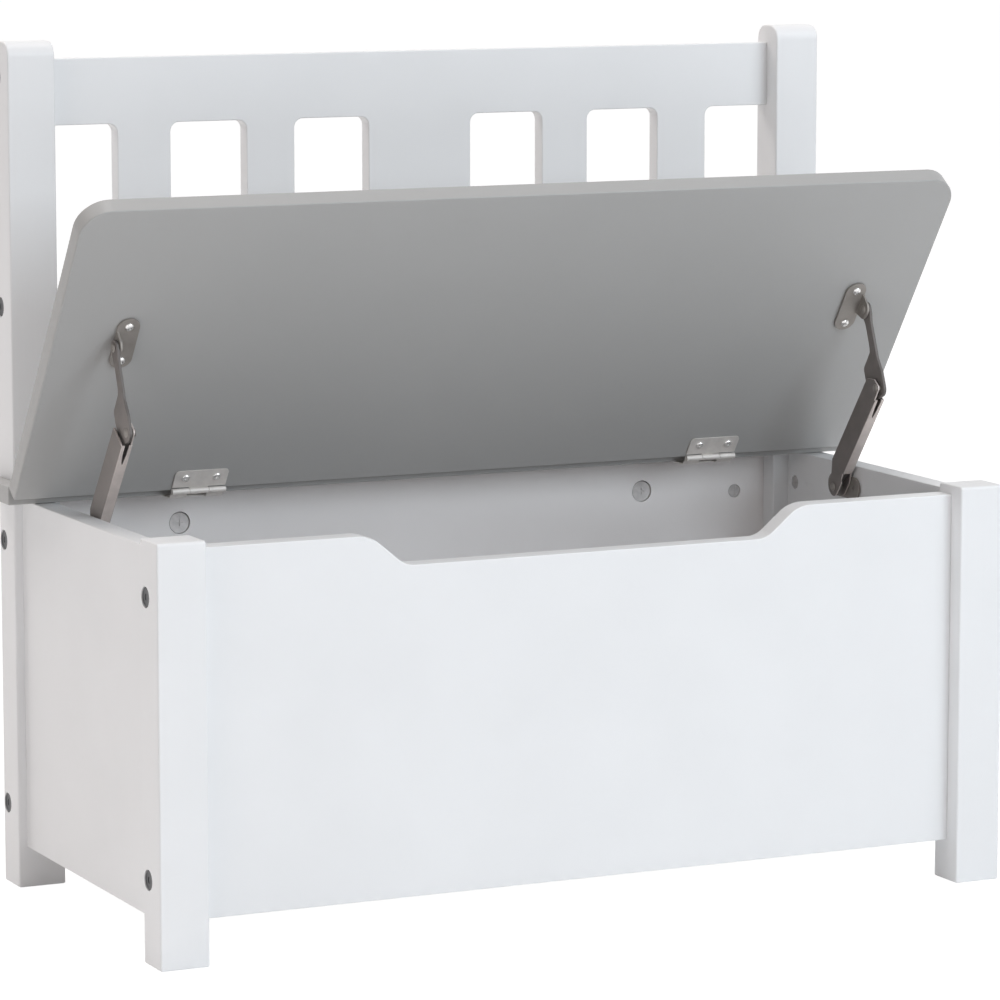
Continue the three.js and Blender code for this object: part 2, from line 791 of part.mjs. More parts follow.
/** The flat upper arm, upright from the elbow to the pivot on the lid. */
function stayArm(side) {
  const half = armWidth / 2;
  const top = armLength;
  const profile = outline([
    [-armTopRadius, top + armTopRadius, armTopRadius - 0.1],
    [-armTopRadius, top - 4, 2],
    [-half, top - 10, 4],
    [-half, 20, 6],
    [-pivotLug, 10, 4],
    [-pivotLug, -pivotLug, pivotLug - 0.5],
    [pivotLug, -pivotLug, 4],
    [elbowPlateReach, 4, 2],
    [elbowPlateReach, 17, 5],
    [half + 1.5, 25, 3.5],
    [half, 31, 3],
    [half, top - 10, 4],
    [armTopRadius, top - 4, 2],
    [armTopRadius, top + armTopRadius, armTopRadius - 0.1],
  ]);
  const blank = board("side", profile, armThickness, 0, 0, 1);
  const pivots = [0, top].map((z) => rivetHole(0, [0, z]));
  return piece(`stay_${side}_arm`, cut(blank, ...pivots), nickel);
}

/** A rivet between two stations along X, with a head at one end or both. */
function rivet(name, x0, x1, headAtStart, headAtEnd, centre = [0, 0]) {
  const head = Math.sign(x1 - x0) * rivetHead;
  const start = headAtStart ? x0 - head / 2 : x0;
  const end = headAtEnd ? x1 + head / 2 : x1;
  const heads = [];
  if (headAtStart) {
    heads.push(rod("x", rivetHeadRadius, x0 - head, x0, centre));
  }
  if (headAtEnd) {
    heads.push(rod("x", rivetHeadRadius, x1, x1 + head, centre));
  }
  return piece(name, join(rod("x", rivetRadius, start, end, centre), ...heads), nickel);
}

function stayBase(side) {
  const sign = sides[side];
  const half = basePlateLength / 2;
  const radius = basePlateWidth / 2;
  const profile = rectangle(-half, half, -radius, radius, radius - 0.1);
  const blank = board("side", profile, sheet, sign * baseX);
  const holes = [-baseScrewSpacing / 2, baseScrewSpacing / 2].map((y) =>
    rod("x", screwHoleRadius, sign * (baseX - 5), sign * (baseX + 5), [y, 0], 8),
  );
  const pivot = rivetHole(sign * baseX, [0, 0]);
  return piece(`stay_${side}_base`, cut(blank, pivot, ...holes), nickel);
}

/** The bracket under the lid: a round-ended plate with an ear bent down for the pivot. */
function stayBracket(side) {
  const sign = sides[side];
  const outerX = earX + sheet / 2;
  const middle = lidTail - bracketDistance;
  const half = bracketLength / 2;
  const top = lidUnderside - fit;
  const x0 = Math.min(sign * outerX, sign * (outerX - bracketWidth));
  const plate = board(
    "top",
    rectangle(x0, x0 + bracketWidth, middle - half, middle + half, bracketWidth / 2 - 0.1),
    sheet,
    top - sheet / 2,
  );
  const pivotY = lidPivotClosed.x;
  const pivotZ = lidPivotClosed.y;
  const earOutline = outline([
    [pivotY - earLug - 3, top, 0],
    [pivotY - earLug, pivotZ - earLug, earLug - 0.1],
    [pivotY + earLug, pivotZ - earLug, earLug - 0.1],
    [pivotY + earLug + 3, top, 0],
  ]);
  const ear = board("side", earOutline, sheet, sign * earX);
  const pivot = rivetHole(sign * earX, [pivotY, pivotZ]);
  const screwX = sign * (outerX - bracketWidth / 2);
  const holes = [-bracketScrewSpacing / 2, bracketScrewSpacing / 2].map((offset) =>
    rod("z", screwHoleRadius, -20, 20, [screwX, middle + offset], 8),
  );
  return piece(`stay_${side}_bracket`, cut(join(plate, ear), pivot, ...holes), nickel);
}

// ---------------------------------------------------------------- assembly
const bench = new THREE.Group();

for (const side of Object.keys(sides)) {
  bench.add(rearPost(side), frontLeg(side), sidePanel(side), makeCam(side), makeCamBolt(side));
}
bench.add(frontPanel(), backPanel(), bottomPanel(), backrestPanel(), seatStrip());
bench.add(...sideBolts.map(makeBolt), ...sideBolts.map(makeNut));

/** The lid as it lies closed, about the hinge axis. */
function seatLid() {
  const half = seatWidth / 2;
  const profile = outline([
    [-half, lidTail - lidLength, lidCornerRadius],
    [half, lidTail - lidLength, lidCornerRadius],
    [half, lidTail],
    [-half, lidTail],
  ]);
  const middle = lidUnderside + seatThickness / 2;
  return piece("seat_lid", board("top", profile, seatThickness, middle, seatRound, 4), grey);
}

const lid = new THREE.Group();
lid.position.set(0, hingeY, hingeZ);
lid.rotation.x = -lidOpenAngle;
lid.add(seatLid());
bench.add(lid);

for (const [side, sign] of Object.entries(sides)) {
  const x = sign * (seatWidth / 2 - hingeInset[side]);
  const moving = new THREE.Group();
  moving.position.x = x;
  moving.add(lidLeaf(side));
  lid.add(moving);
  const still = new THREE.Group();
  still.position.set(x, hingeY, hingeZ);
  still.add(fixedLeaf(side), hingePin(side));
  bench.add(still);
}

for (const [side, sign] of Object.entries(sides)) {
  lid.add(stayBracket(side));

  const base = new THREE.Group();
  base.position.set(0, basePivot.x, basePivot.y);
  const channelInner = sign * (channelX - channelWidth / 2 - fit);
  const plateOuter = sign * (baseX + sheet / 2);
  base.add(
    stayBase(side),
    rivet(`stay_${side}_base_rivet`, channelInner, plateOuter, true, false),
  );
  bench.add(base);

  const channel = new THREE.Group();
  channel.position.set(sign * channelX, basePivot.x, basePivot.y);
  channel.rotation.x = stayOpen.channelAngle;
  channel.add(stayChannel(side));
  bench.add(channel);

  const arm = new THREE.Group();
  arm.position.set(sign * channelX, stayOpen.elbow.x, stayOpen.elbow.y);
  arm.rotation.x = stayOpen.armAngle;
  const wallOuter = channelWidth / 2 + fit;
  const armFace = armThickness / 2;
  arm.add(
    stayArm(side),
    rivet(`stay_${side}_elbow_rivet`, -wallOuter, wallOuter, true, true),
    rivet(
      `stay_${side}_top_rivet`,
      -sign * (armFace + fit / 2),
      sign * (armFace + fit),
      false,
      true,
      [0, armLength],
    ),
  );
  bench.add(arm);
}

export default bench;
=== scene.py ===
"""Storage bench: painted boards, connector fittings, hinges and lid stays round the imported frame."""

import json
import math

import bmesh
import bpy
from mathutils import Matrix, Vector


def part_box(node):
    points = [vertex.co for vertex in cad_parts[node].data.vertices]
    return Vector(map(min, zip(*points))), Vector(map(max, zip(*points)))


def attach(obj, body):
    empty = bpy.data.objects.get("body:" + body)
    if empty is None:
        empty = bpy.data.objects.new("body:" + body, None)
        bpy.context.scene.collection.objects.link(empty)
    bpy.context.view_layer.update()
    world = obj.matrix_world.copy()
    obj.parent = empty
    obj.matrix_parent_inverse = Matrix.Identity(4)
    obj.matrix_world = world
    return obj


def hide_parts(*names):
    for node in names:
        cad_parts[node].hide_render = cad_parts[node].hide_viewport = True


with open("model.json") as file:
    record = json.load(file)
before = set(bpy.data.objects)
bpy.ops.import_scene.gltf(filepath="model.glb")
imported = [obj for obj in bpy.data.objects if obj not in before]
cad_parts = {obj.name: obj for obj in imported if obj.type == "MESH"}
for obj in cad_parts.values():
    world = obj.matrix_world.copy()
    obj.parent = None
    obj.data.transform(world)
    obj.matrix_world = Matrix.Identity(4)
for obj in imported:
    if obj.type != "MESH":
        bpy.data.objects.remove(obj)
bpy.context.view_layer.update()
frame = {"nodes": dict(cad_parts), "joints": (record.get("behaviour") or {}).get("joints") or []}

bl_info = {
    "name": "Storage bench",
    "version": (1, 0, 0),
    "blender": (4, 5, 0),
    "location": "3D View > Sidebar > Bench",
    "description": "Builds a painted storage bench with a hinged lid on folding stays",
    "category": "Add Mesh",
}

MM = 0.001
# at(spot) is the move from the origin to a spot
at = Matrix.Translation
SIDES = {"left": -1, "right": 1}
PLACES = ("front_upper", "front_lower", "rear_upper", "rear_lower", "rail_upper", "rail_lower")
JOINTS = {joint["name"]: joint for joint in frame["joints"]}

# points this close are one point
MERGED = 1e-6
# an edge between faces is rounded over the first angle, and drawn sharp over the second
ROUNDED_FROM = math.radians(50)
SHARP_FROM = math.radians(42)
# broken edges of bored wood, bored boards, stay strip and hinge strip
WOOD_EDGE = 0.25 * MM
BOARD_EDGE = 0.2 * MM
STAY_EDGE = 0.25 * MM
LEAF_EDGE = 0.12 * MM
# thickness of the strip the stays' brackets are bent from
BRACKET_STRIP = 1.5 * MM
# how far a cutter starts outside the face it cuts
LEAD = 1 * MM

# how an outline's u, v and thickness lie in the bench's X, Y, Z
SIDE_ON = Matrix(((0, 0, 1, 0), (1, 0, 0, 0), (0, 1, 0, 0), (0, 0, 0, 1)))
FRONT_ON = Matrix(((1, 0, 0, 0), (0, 0, 1, 0), (0, 1, 0, 0), (0, 0, 0, 1)))
FROM_ABOVE = Matrix.Identity(4)

# how a turned part, drawn with its head up, lies in the bench
HEAD_UP = Matrix.Identity(4)
HEAD_DOWN = Matrix.Rotation(math.pi, 4, "X")
HEAD_BACK = Matrix.Rotation(-math.pi / 2, 4, "X")
HEAD_FRONT = Matrix.Rotation(math.pi / 2, 4, "X")
HEAD_SIDEWAYS = {sign: Matrix.Rotation(sign * math.pi / 2, 4, "Y") for sign in SIDES.values()}


def linear(code):
    """An sRGB hex colour as linear red, green, blue."""
    channels = [int(code[i : i + 2], 16) / 255 for i in (0, 2, 4)]
    return tuple(c / 12.92 if c <= 0.04045 else ((c + 0.055) / 1.055) ** 2.4 for c in channels)


# ---------------- settings


def length(name, description, millimetres):
    """A size that a user may change, in the scene's length unit."""
    return bpy.props.FloatProperty(
        name=name, description=description, default=millimetres * MM, min=0.0, unit="LENGTH"
    )


def angle(name, description, degrees):
    """An angle that a user may change."""
    return bpy.props.FloatProperty(
        name=name, description=description, default=math.radians(degrees), unit="ROTATION"
    )


def power(name, description, watts):
    """A lamp's power that a user may change."""
    return bpy.props.FloatProperty(
        name=name, description=description, default=watts, min=0.0, unit="POWER"
    )


def paint(name, description, code):
    """A colour that a user may change."""
    return bpy.props.FloatVectorProperty(
        name=name, description=description, default=linear(code), min=0.0, max=1.0, subtype="COLOR"
    )


class BenchSizes(bpy.types.PropertyGroup):
    """Sizes of the bench's edges and fittings."""

    post_round: length("Post rounding", "Rounded long edges of posts and legs", 1.2)
    post_top: length("Post top", "Rounded top edges of the rear posts", 10.0)
    leg_top: length("Leg top", "Rounded top edges of the front legs", 2.0)
    board_round: length("Board rounding", "Rounded edges of the boards", 0.8)
    seat_round: length("Seat rounding", "Rounded edges of the seat boards", 0.8)
    lid_corner: length("Lid corner", "Corner radius of the lid's front corners", 20.0)
    slot_corner: length("Slot corner", "Corner radius of the backrest slots", 6.0)
    cutout_lip: length("Cut-out lip", "Radius where the hand cut-out leaves the top edge", 22.0)
    cutout_foot: length("Cut-out foot", "Radius at the floor of the hand cut-out", 16.0)
    bolt_head: length("Bolt head", "Radius of a connector bolt's head", 6.2)
    bolt_shank: length("Bolt shank", "Radius of a connector bolt's shank", 3.0)
    hex_key: length("Hex key", "Width of the hex socket across its flats", 4.0)
    nut_radius: length("Barrel nut", "Radius of a barrel nut", 4.5)
    cam_radius: length("Cam lock", "Radius of a cam lock", 7.0)
    clearance: length("Clearance", "Gap round a fitting in its hole", 0.3)
    snug: length("Snug gap", "Gap round a nut or cam in its hole", 0.15)
    knuckle: length("Knuckle", "Outer radius of a rolled hinge knuckle", 2.0)
    strip: length("Hinge strip", "Thickness of the strip the hinges are rolled from", 0.8)
    screw_head: length("Screw head", "Radius of a screw's head", 2.9)
    rivet_head: length("Rivet head", "Radius of a stay rivet's head", 3.0)


class BenchColours(bpy.types.PropertyGroup):
    """Colours of the bench's finishes."""

    white: paint("White lacquer", "Boards, posts and legs", "ECEDEE")
    # painted light: the same white lacquer made paler and warmer, so the box's shaded inside looks lit
    inner: paint("Inner white lacquer with painted light", "Back and bottom boards of the box", "F6F3F2")
    grey: paint("Grey lacquer", "Lid and rear strip of the seat", "A8A8A7")
    hinge: paint("Hinge plate", "Satin nickel of the hinges", "DEDAD6")
    # painted shade: the stays' arms and channels are the same satin nickel as the hinges, set much darker to
    # stand in for the dark reflections they show
    stay: paint("Stay arms", "Satin nickel of the stays' arms and channels", "857F7C")
    plate: paint("Stay plates", "Satin nickel of the stays' brackets and base plates", "96918C")
    screw: paint("Screws", "Bright zinc of the screws", "E4E3E2")
    zinc: paint("Zinc", "Cam locks and barrel nuts", "CBC8C7")
    bolt: paint("Blackened steel", "Connector bolts", "4C4C4E")
    background: paint("Background", "Floor of the studio", "FFFFFF")


class BenchStage(bpy.types.PropertyGroup):
    """Camera and lights."""

    eye: bpy.props.FloatVectorProperty(
        name="Eye", description="Place of the camera", default=(-1.3034, -2.7284, 0.6902), unit="LENGTH"
    )
    pan: angle("Pan", "Turn to the right of straight ahead", 25.514)
    tilt: angle("Tilt", "Tilt below level", 8.245)
    lens: bpy.props.FloatProperty(
        name="Lens", description="Focal length in millimetres on a 36 mm sensor", default=169.16
    )
    ambient: bpy.props.FloatProperty(
        name="Ambient", description="Strength of the even light from all round", default=0.24, min=0.0
    )
    key_power: power("Key light", "Power of the small lamp high on the right", 12.0)
    front_power: power("Front light", "Power of the broad lamp in front", 34.0)
    fill_power: power("Fill light", "Power of the broad low lamp on the left", 9.0)
    back_power: power("Back light", "Power of the broad lamp behind on the left", 33.0)
    top_power: power("Top light", "Power of the broad lamp overhead", 36.0)


# ---------------- modelling tools


def link(name, mesh):
    """A mesh's object, at the origin."""
    piece = bpy.data.objects.new(name, mesh)
    bpy.context.scene.collection.objects.link(piece)
    return piece


def new_piece(name, bm):
    """Turns a bmesh into an object at the origin."""
    bmesh.ops.remove_doubles(bm, verts=bm.verts, dist=MERGED)
    bmesh.ops.recalc_face_normals(bm, faces=bm.faces)
    mesh = bpy.data.meshes.new(name)
    bm.to_mesh(mesh)
    bm.free()
    return link(name, mesh)


def discard(piece):
    """Removes a piece that only served as a pattern or a cutter."""
    mesh = piece.data
    bpy.data.objects.remove(piece)
    bpy.data.meshes.remove(mesh)


def apply(piece, kind, **settings):
    """Runs one modifier on a piece and keeps its result as the piece's mesh."""
    modifier = piece.modifiers.new(kind.title(), kind)
    for name, value in settings.items():
        setattr(modifier, name, value)
    graph = bpy.context.evaluated_depsgraph_get()
    result = bpy.data.meshes.new_from_object(piece.evaluated_get(graph), depsgraph=graph)
    old = piece.data
    piece.modifiers.clear()
    piece.data = result
    bpy.data.meshes.remove(old)


def combine(piece, bm, operation="DIFFERENCE"):
    """Cuts a bmesh's solids from a piece, or joins them to it."""
    tool = new_piece("tool", bm)
    apply(piece, "BOOLEAN", operation=operation, object=tool, solver="EXACT", use_self=True)
    discard(tool)


def round_edges(piece, width, segments=3):
    """Rounds every edge of a piece that is sharper than its curves."""
    apply(
        piece, "BEVEL", width=width, segments=segments, profile=0.5, limit_method="ANGLE",
        angle_limit=ROUNDED_FROM, use_clamp_overlap=False,
    )


def finish(piece, look, body, *nodes, slot=None):
    """Shades a piece, gives it its material and hangs it on a body in place of CAD nodes."""
    mesh = piece.data
    mesh.shade_smooth()
    mesh.set_sharp_from_angle(angle=SHARP_FROM)
    weighting = piece.modifiers.new("Weighted normals", "WEIGHTED_NORMAL")
    weighting.keep_sharp = True
    mesh.materials.clear()
    mesh.materials.append(material_for(look))
    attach(piece, body)
    if nodes:
        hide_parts(*nodes)


def fit(pattern, name, place, look, body, *nodes, slot=None):
    """Fits a finished copy of a pattern at its place."""
    mesh = pattern.data.copy()
    mesh.transform(place)
    finish(link(name, mesh), look, body, *nodes, slot=slot)


def block(bm, low, high):
    """Adds a box between two corners."""
    low = Vector(low)
    high = Vector(high)
    size = Matrix.Diagonal((*(high - low), 1))
    bmesh.ops.create_cube(bm, size=1, matrix=at((low + high) / 2) @ size)


def rod(bm, radius, start, end, segments=32):
    """Adds a cylinder between two points."""
    start = Vector(start)
    end = Vector(end)
    turn = (end - start).to_track_quat("Z", "Y").to_matrix().to_4x4()
    bmesh.ops.create_cone(
        bm, cap_ends=True, segments=segments, radius1=radius, radius2=radius,
        depth=(end - start).length, matrix=at((start + end) / 2) @ turn,
    )


def add_solid(bm, part, place):
    """Moves one solid's bmesh to its place and adds it to another bmesh."""
    bmesh.ops.remove_doubles(part, verts=part.verts, dist=MERGED)
    bmesh.ops.recalc_face_normals(part, faces=part.faces)
    bmesh.ops.transform(part, matrix=place, verts=part.verts)
    if place.determinant() < 0:
        bmesh.ops.reverse_faces(part, faces=part.faces)
    mesh = bpy.data.meshes.new("part")
    part.to_mesh(mesh)
    part.free()
    bm.from_mesh(mesh)
    bpy.data.meshes.remove(mesh)


def prism(bm, facing, corners, start, end, segments=6):
    """Adds a plate: an outline through corners (u, v, radius) given a thickness from start to end."""
    part = bmesh.new()
    verts = [part.verts.new((u, v, start)) for u, v, _ in corners]
    part.faces.new(verts)
    for vert, (_, _, radius) in zip(verts, corners):
        if radius > 0:
            before, after = (edge.other_vert(vert).co - vert.co for edge in vert.link_edges)
            bmesh.ops.bevel(
                part, geom=[vert], offset=radius / math.tan(before.angle(after) / 2),
                offset_type="OFFSET", affect="VERTICES", segments=segments, profile=0.5, material=-1,
            )
    grown = bmesh.ops.extrude_face_region(part, geom=part.faces[:])
    fresh = [item for item in grown["geom"] if isinstance(item, bmesh.types.BMVert)]
    bmesh.ops.translate(part, verts=fresh, vec=(0, 0, end - start))
    add_solid(bm, part, facing)


def lathe(bm, profile, place=HEAD_UP, segments=32):
    """Adds a turned solid: a profile of (radius, height) from axis to axis, spun about the axis."""
    part = bmesh.new()
    verts = [part.verts.new((radius, 0, height)) for radius, height in profile]
    edges = [part.edges.new(pair) for pair in zip(verts, verts[1:])]
    bmesh.ops.spin(
        part, geom=[*verts, *edges], axis=(0, 0, 1), cent=(0, 0, 0), angle=math.tau, steps=segments,
        use_merge=True,
    )
    add_solid(bm, part, place)


def plate(name, facing, corners, start, end, segments=6):
    """A new piece of one thickness, from its outline."""
    bm = bmesh.new()
    prism(bm, facing, corners, start, end, segments)
    return new_piece(name, bm)


def slab(name, low, high):
    """A new square-edged piece between two corners."""
    bm = bmesh.new()
    block(bm, low, high)
    return new_piece(name, bm)


def turned(name, profile, segments=32):
    """A new turned piece, upright at the origin."""
    bm = bmesh.new()
    lathe(bm, profile, segments=segments)
    return new_piece(name, bm)


def rectangle(left, low, right, high, low_round, high_round):
    """A rectangle's corners, with one radius for the two low ones and one for the two high ones."""
    return [
        (left, low, low_round), (right, low, low_round), (right, high, high_round),
        (left, high, high_round),
    ]


def mirrored(half):
    """One half of an outline and, going back, its mirror image on the other side."""
    return [*half, *((-u, v, radius) for u, v, radius in reversed(half))]


def dome(radius, height, base=0):
    """Profile points of a low round head, from its top on the axis down to its rim."""
    angles = [math.pi / 2 * step / 5 for step in range(6)]
    return [(radius * math.sin(a), base + height * math.cos(a)) for a in angles]


def cross_recess(bm, long, short, low, high):
    """Adds the two bars of a cross recess."""
    block(bm, (-long, -short, low), (long, short, high))
    block(bm, (-short, -long, low), (short, long, high))


def middle(node):
    """Centre of a CAD node's box."""
    low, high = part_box(node)
    return (low + high) / 2


def face_x(node, sign):
    """Where a CAD node's box ends to the left (-1) or the right (1)."""
    low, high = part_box(node)
    return high.x if sign > 0 else low.x


def box_in(node, place):
    """A CAD node's lowest and highest corners, measured in a turned frame."""
    back = place.inverted()
    points = [back @ vert.co for vert in frame["nodes"][node].data.vertices]
    low = Vector([min(p[i] for p in points) for i in range(3)])
    high = Vector([max(p[i] for p in points) for i in range(3)])
    return low, high


# ---------------- materials


# the middle of a noise texture's range, where most of its values lie
NOISE_SPAN = {"From Min": 0.3, "From Max": 0.7}


def add_node(tree, kind, inputs=None, **settings):
    """Adds a node with its settings. Each input is a value, a socket or a node's first output."""
    made = tree.nodes.new(f"ShaderNode{kind}")
    for name, value in settings.items():
        setattr(made, name, value)
    for name, value in (inputs or {}).items():
        if isinstance(value, bpy.types.Node):
            value = value.outputs[0]
        if isinstance(value, bpy.types.NodeSocket):
            tree.links.new(value, made.inputs[name])
        else:
            made.inputs[name].default_value = value
    return made


def start_material(name):
    """A new material with an empty node tree."""
    made = bpy.data.materials.new(name)
    made.use_nodes = True
    made.node_tree.nodes.clear()
    return made


def per_mm(size):
    """Texture scale for a pattern whose features are this many millimetres apart."""
    return 1 / (size * MM)


def lacquer(tree, place, colour, grain):
    """Sprayed satin lacquer on sanded board or wood: even and soft, with a low broad sheen.

    The eye sees a faint orange peel in the highlights and, on solid wood, the grain lifting
    the coat a little along the length. The peel is drawn at 3 mm, because the real 1 mm
    pattern is too fine to show."""
    peel = add_node(
        tree, "TexNoise", {"Vector": place, "Scale": per_mm(3), "Detail": 2.0, "Roughness": 0.45}
    )
    along = add_node(tree, "Mapping", {"Vector": place, "Scale": (1.0, 1.0, 0.035)})
    fibres = add_node(tree, "TexNoise", {"Vector": along, "Scale": per_mm(2.2), "Detail": 3.0})
    blotches = add_node(tree, "TexNoise", {"Vector": place, "Scale": per_mm(70), "Detail": 2.0})
    tone = add_node(tree, "MapRange", {"Value": blotches, **NOISE_SPAN, "To Min": 0.985, "To Max": 1.01})
    tinted = add_node(tree, "VectorMath", {0: (*colour,), "Scale": tone}, operation="SCALE")
    gloss = add_node(tree, "MapRange", {"Value": peel, **NOISE_SPAN, "To Min": 0.36, "To Max": 0.46})
    soft = add_node(tree, "Bump", {"Height": peel, "Strength": 0.12, "Distance": 0.15 * MM})
    lifted = add_node(
        tree, "Bump", {"Height": fibres, "Strength": grain, "Distance": 0.12 * MM, "Normal": soft}
    )
    return {"Base Color": tinted, "Roughness": gloss, "Normal": lifted, "IOR": 1.48}


def nickel_plate(tree, place, colour, metallic, front):
    """Nickel-plated strip steel, pressed and barrel plated: warm grey with a dull mirror.

    The eye sees fine rolling lines that stretch the reflections, and dull patches where
    parts rubbed in the barrel. Faces that do not look sideways have their colour multiplied
    by the factor `front`: painted light on a channel's web and painted shade on an arm's
    edges, standing in for the brighter and darker reflections the studio gives them."""
    facing = add_node(tree, "SeparateXYZ", {"Vector": add_node(tree, "TexCoord").outputs["Normal"]})
    sideways = add_node(tree, "Math", {0: facing}, operation="ABSOLUTE")
    # painted light and shade: a face that does not look sideways gets its colour times `front`, whatever
    # lamps fall on it
    painted_facing_light = add_node(
        tree, "MapRange",
        {"Value": sideways, "From Min": 0.35, "From Max": 0.85, "To Min": front, "To Max": 1.0},
    )
    drawn = add_node(tree, "Mapping", {"Vector": place, "Scale": (1.0, 0.12, 0.12)})
    lines = add_node(
        tree, "TexNoise", {"Vector": drawn, "Scale": per_mm(0.8), "Detail": 3.0, "Roughness": 0.6}
    )
    rub = add_node(tree, "TexNoise", {"Vector": place, "Scale": per_mm(9), "Detail": 4.0, "Roughness": 0.6})
    shade = add_node(tree, "MapRange", {"Value": rub, **NOISE_SPAN, "To Min": 0.88, "To Max": 1.06})
    tone = add_node(tree, "Math", {0: shade, 1: painted_facing_light}, operation="MULTIPLY")
    tinted = add_node(tree, "VectorMath", {0: (*colour,), "Scale": tone}, operation="SCALE")
    dulled = add_node(
        tree, "MapRange", {"Value": rub, "From Min": 0.3, "From Max": 0.75, "To Min": 0.48, "To Max": 0.62}
    )
    scored = add_node(tree, "Bump", {"Height": lines, "Strength": 0.1, "Distance": 0.02 * MM})
    return {"Base Color": tinted, "Metallic": metallic, "Roughness": dulled, "Normal": scored}


def bright_zinc(tree, place, colour):
    """Bright zinc plate on the screws: almost white, with clear highlights.

    The eye sees small lively glints on the heads, broken by a fine grain."""
    grain = add_node(tree, "TexNoise", {"Vector": place, "Scale": per_mm(0.5), "Detail": 2.0})
    sheen = add_node(tree, "MapRange", {"Value": grain, **NOISE_SPAN, "To Min": 0.22, "To Max": 0.32})
    return {"Base Color": (*colour, 1), "Metallic": 0.9, "Roughness": sheen}


def zinc_die_cast(tree, place, colour):
    """Die-cast zinc, left as it leaves the mould: dull pale grey.

    The eye sees a fine pebbled skin and slightly cloudy tone."""
    skin = add_node(tree, "TexVoronoi", {"Vector": place, "Scale": per_mm(0.7)})
    cloud = add_node(tree, "TexNoise", {"Vector": place, "Scale": per_mm(4), "Detail": 3.0})
    shade = add_node(tree, "MapRange", {"Value": cloud, **NOISE_SPAN, "To Min": 0.85, "To Max": 1.05})
    tinted = add_node(tree, "VectorMath", {0: (*colour,), "Scale": shade}, operation="SCALE")
    pebbles = add_node(tree, "Bump", {"Height": skin, "Strength": 0.3, "Distance": 0.06 * MM})
    return {"Base Color": tinted, "Metallic": 0.4, "Roughness": 0.55, "Normal": pebbles}


def blackened_steel(tree, place, colour):
    """Turned steel bolts in a dark phosphate coat: almost black, with a soft glint.

    The eye sees the turned steel dulled by a crystalline coat."""
    crystals = add_node(
        tree, "TexNoise", {"Vector": place, "Scale": per_mm(0.6), "Detail": 3.0, "Roughness": 0.6}
    )
    shade = add_node(tree, "MapRange", {"Value": crystals, **NOISE_SPAN, "To Min": 0.75, "To Max": 1.2})
    tinted = add_node(tree, "VectorMath", {0: (*colour,), "Scale": shade}, operation="SCALE")
    rough = add_node(tree, "Bump", {"Height": crystals, "Strength": 0.2, "Distance": 0.05 * MM})
    return {"Base Color": tinted, "Metallic": 0.8, "Roughness": 0.42, "Normal": rough}


# each look: its recipe, its material's name, its colour and the recipe's other settings
LOOKS = {
    # on boards, smooth; the box's back and bottom get a paler, warmer copy of the white, as painted light
    # inside the box; on pine the grain shows
    "white_board": (lacquer, "white_satin_lacquer_on_fibreboard", "white", 0.0),
    "painted_light_inner_board": (lacquer, "pale_white_satin_lacquer_on_fibreboard", "inner", 0.0),
    "grey_board": (lacquer, "grey_satin_lacquer_on_fibreboard", "grey", 0.0),
    "white_wood": (lacquer, "white_satin_lacquer_on_pine", "white", 0.35),
    # satin nickel: pale on hinges, darker on the stays; the arms' edges painted darker as painted shade and
    # the channels' webs painted lighter as painted light
    "hinge_steel": (nickel_plate, "satin_nickel_on_hinge_strip", "hinge", 0.25, 1.0),
    "arm_steel": (nickel_plate, "satin_nickel_on_stay_arm", "stay", 0.4, 0.55),
    "channel_steel": (nickel_plate, "satin_nickel_on_stay_channel", "stay", 0.4, 2.8),
    "stay_steel": (nickel_plate, "satin_nickel_on_stay_plates", "plate", 0.4, 1.0),
    "screw_steel": (bright_zinc, "bright_zinc_on_screws", "screw"),
    "zinc_steel": (zinc_die_cast, "zinc_die_cast", "zinc"),
    "bolt_steel": (blackened_steel, "dark_phosphated_steel", "bolt"),
}


def material_for(look):
    """The material of a look, made once: its recipe gives the shader's inputs."""
    recipe, name, colour, *settings = LOOKS[look]
    if name not in bpy.data.materials:
        tree = start_material(name).node_tree
        place = add_node(tree, "TexCoord").outputs["Object"]
        tint = getattr(bpy.context.scene.bench_colours, colour)
        shader = add_node(tree, "BsdfPrincipled", recipe(tree, place, tint, *settings))
        add_node(tree, "OutputMaterial", {"Surface": shader})
    return bpy.data.materials[name]


def dress(node, look):
    """Gives a CAD node that stays in sight its finish."""
    frame["nodes"][node].material_slots[0].material = material_for(look)


# ---------------- connector fittings


def bolt_spot(side, place):
    """Where a bolt's head meets the outer face: its centre line and the leg's outer face."""
    node = f"bolt_{side}_{place}"
    spot = middle(node)
    spot.x = face_x(node, SIDES[side])
    return spot


def cross_bolt_spots(side):
    """Head centres of the bolts that enter a post from behind, into the side board."""
    board = middle(f"side_panel_{side}")
    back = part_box(f"rear_post_{side}")[1].y
    step = 7.2 * MM
    recess = 0.4 * MM
    return [
        Vector((board.x, back - recess, bolt_spot(side, place).z + step))
        for place in ("rear_upper", "rear_lower")
    ]


def cross_nut_spot(side, spot):
    """Centre of the nut that a bolt from behind screws into, on the side board's inner face."""
    inner = face_x(f"side_panel_{side}", -SIDES[side])
    before_post = 10 * MM
    return Vector((inner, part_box(f"rear_post_{side}")[0].y - before_post, spot.z))


def bolt_hole(bm, sizes, spot, inward, reach):
    """A counterbored hole for a bolt, from outside its head to past its end."""
    gap = sizes.clearance
    head = 2.5 * MM
    outside = 5 * MM
    rod(bm, sizes.bolt_head + gap, spot - inward * outside, spot + inward * (head + gap))
    rod(bm, sizes.bolt_shank + gap, spot, spot + inward * reach, 20)


def nut_holes(bm, sizes, places):
    """The holes of a board's barrel nuts at both ends, each open at the face where the nut shows."""
    room = 0.8 * MM
    for side in SIDES:
        for place in places:
            node = f"barrel_nut_{side}_{place}"
            low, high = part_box(node)
            start = middle(node)
            end = start.copy()
            seen_in_front = place.startswith("rear")
            start.y = low.y - (room if seen_in_front else 0)
            end.y = high.y + (0 if seen_in_front else room)
            rod(bm, sizes.nut_radius + sizes.snug, start, end)


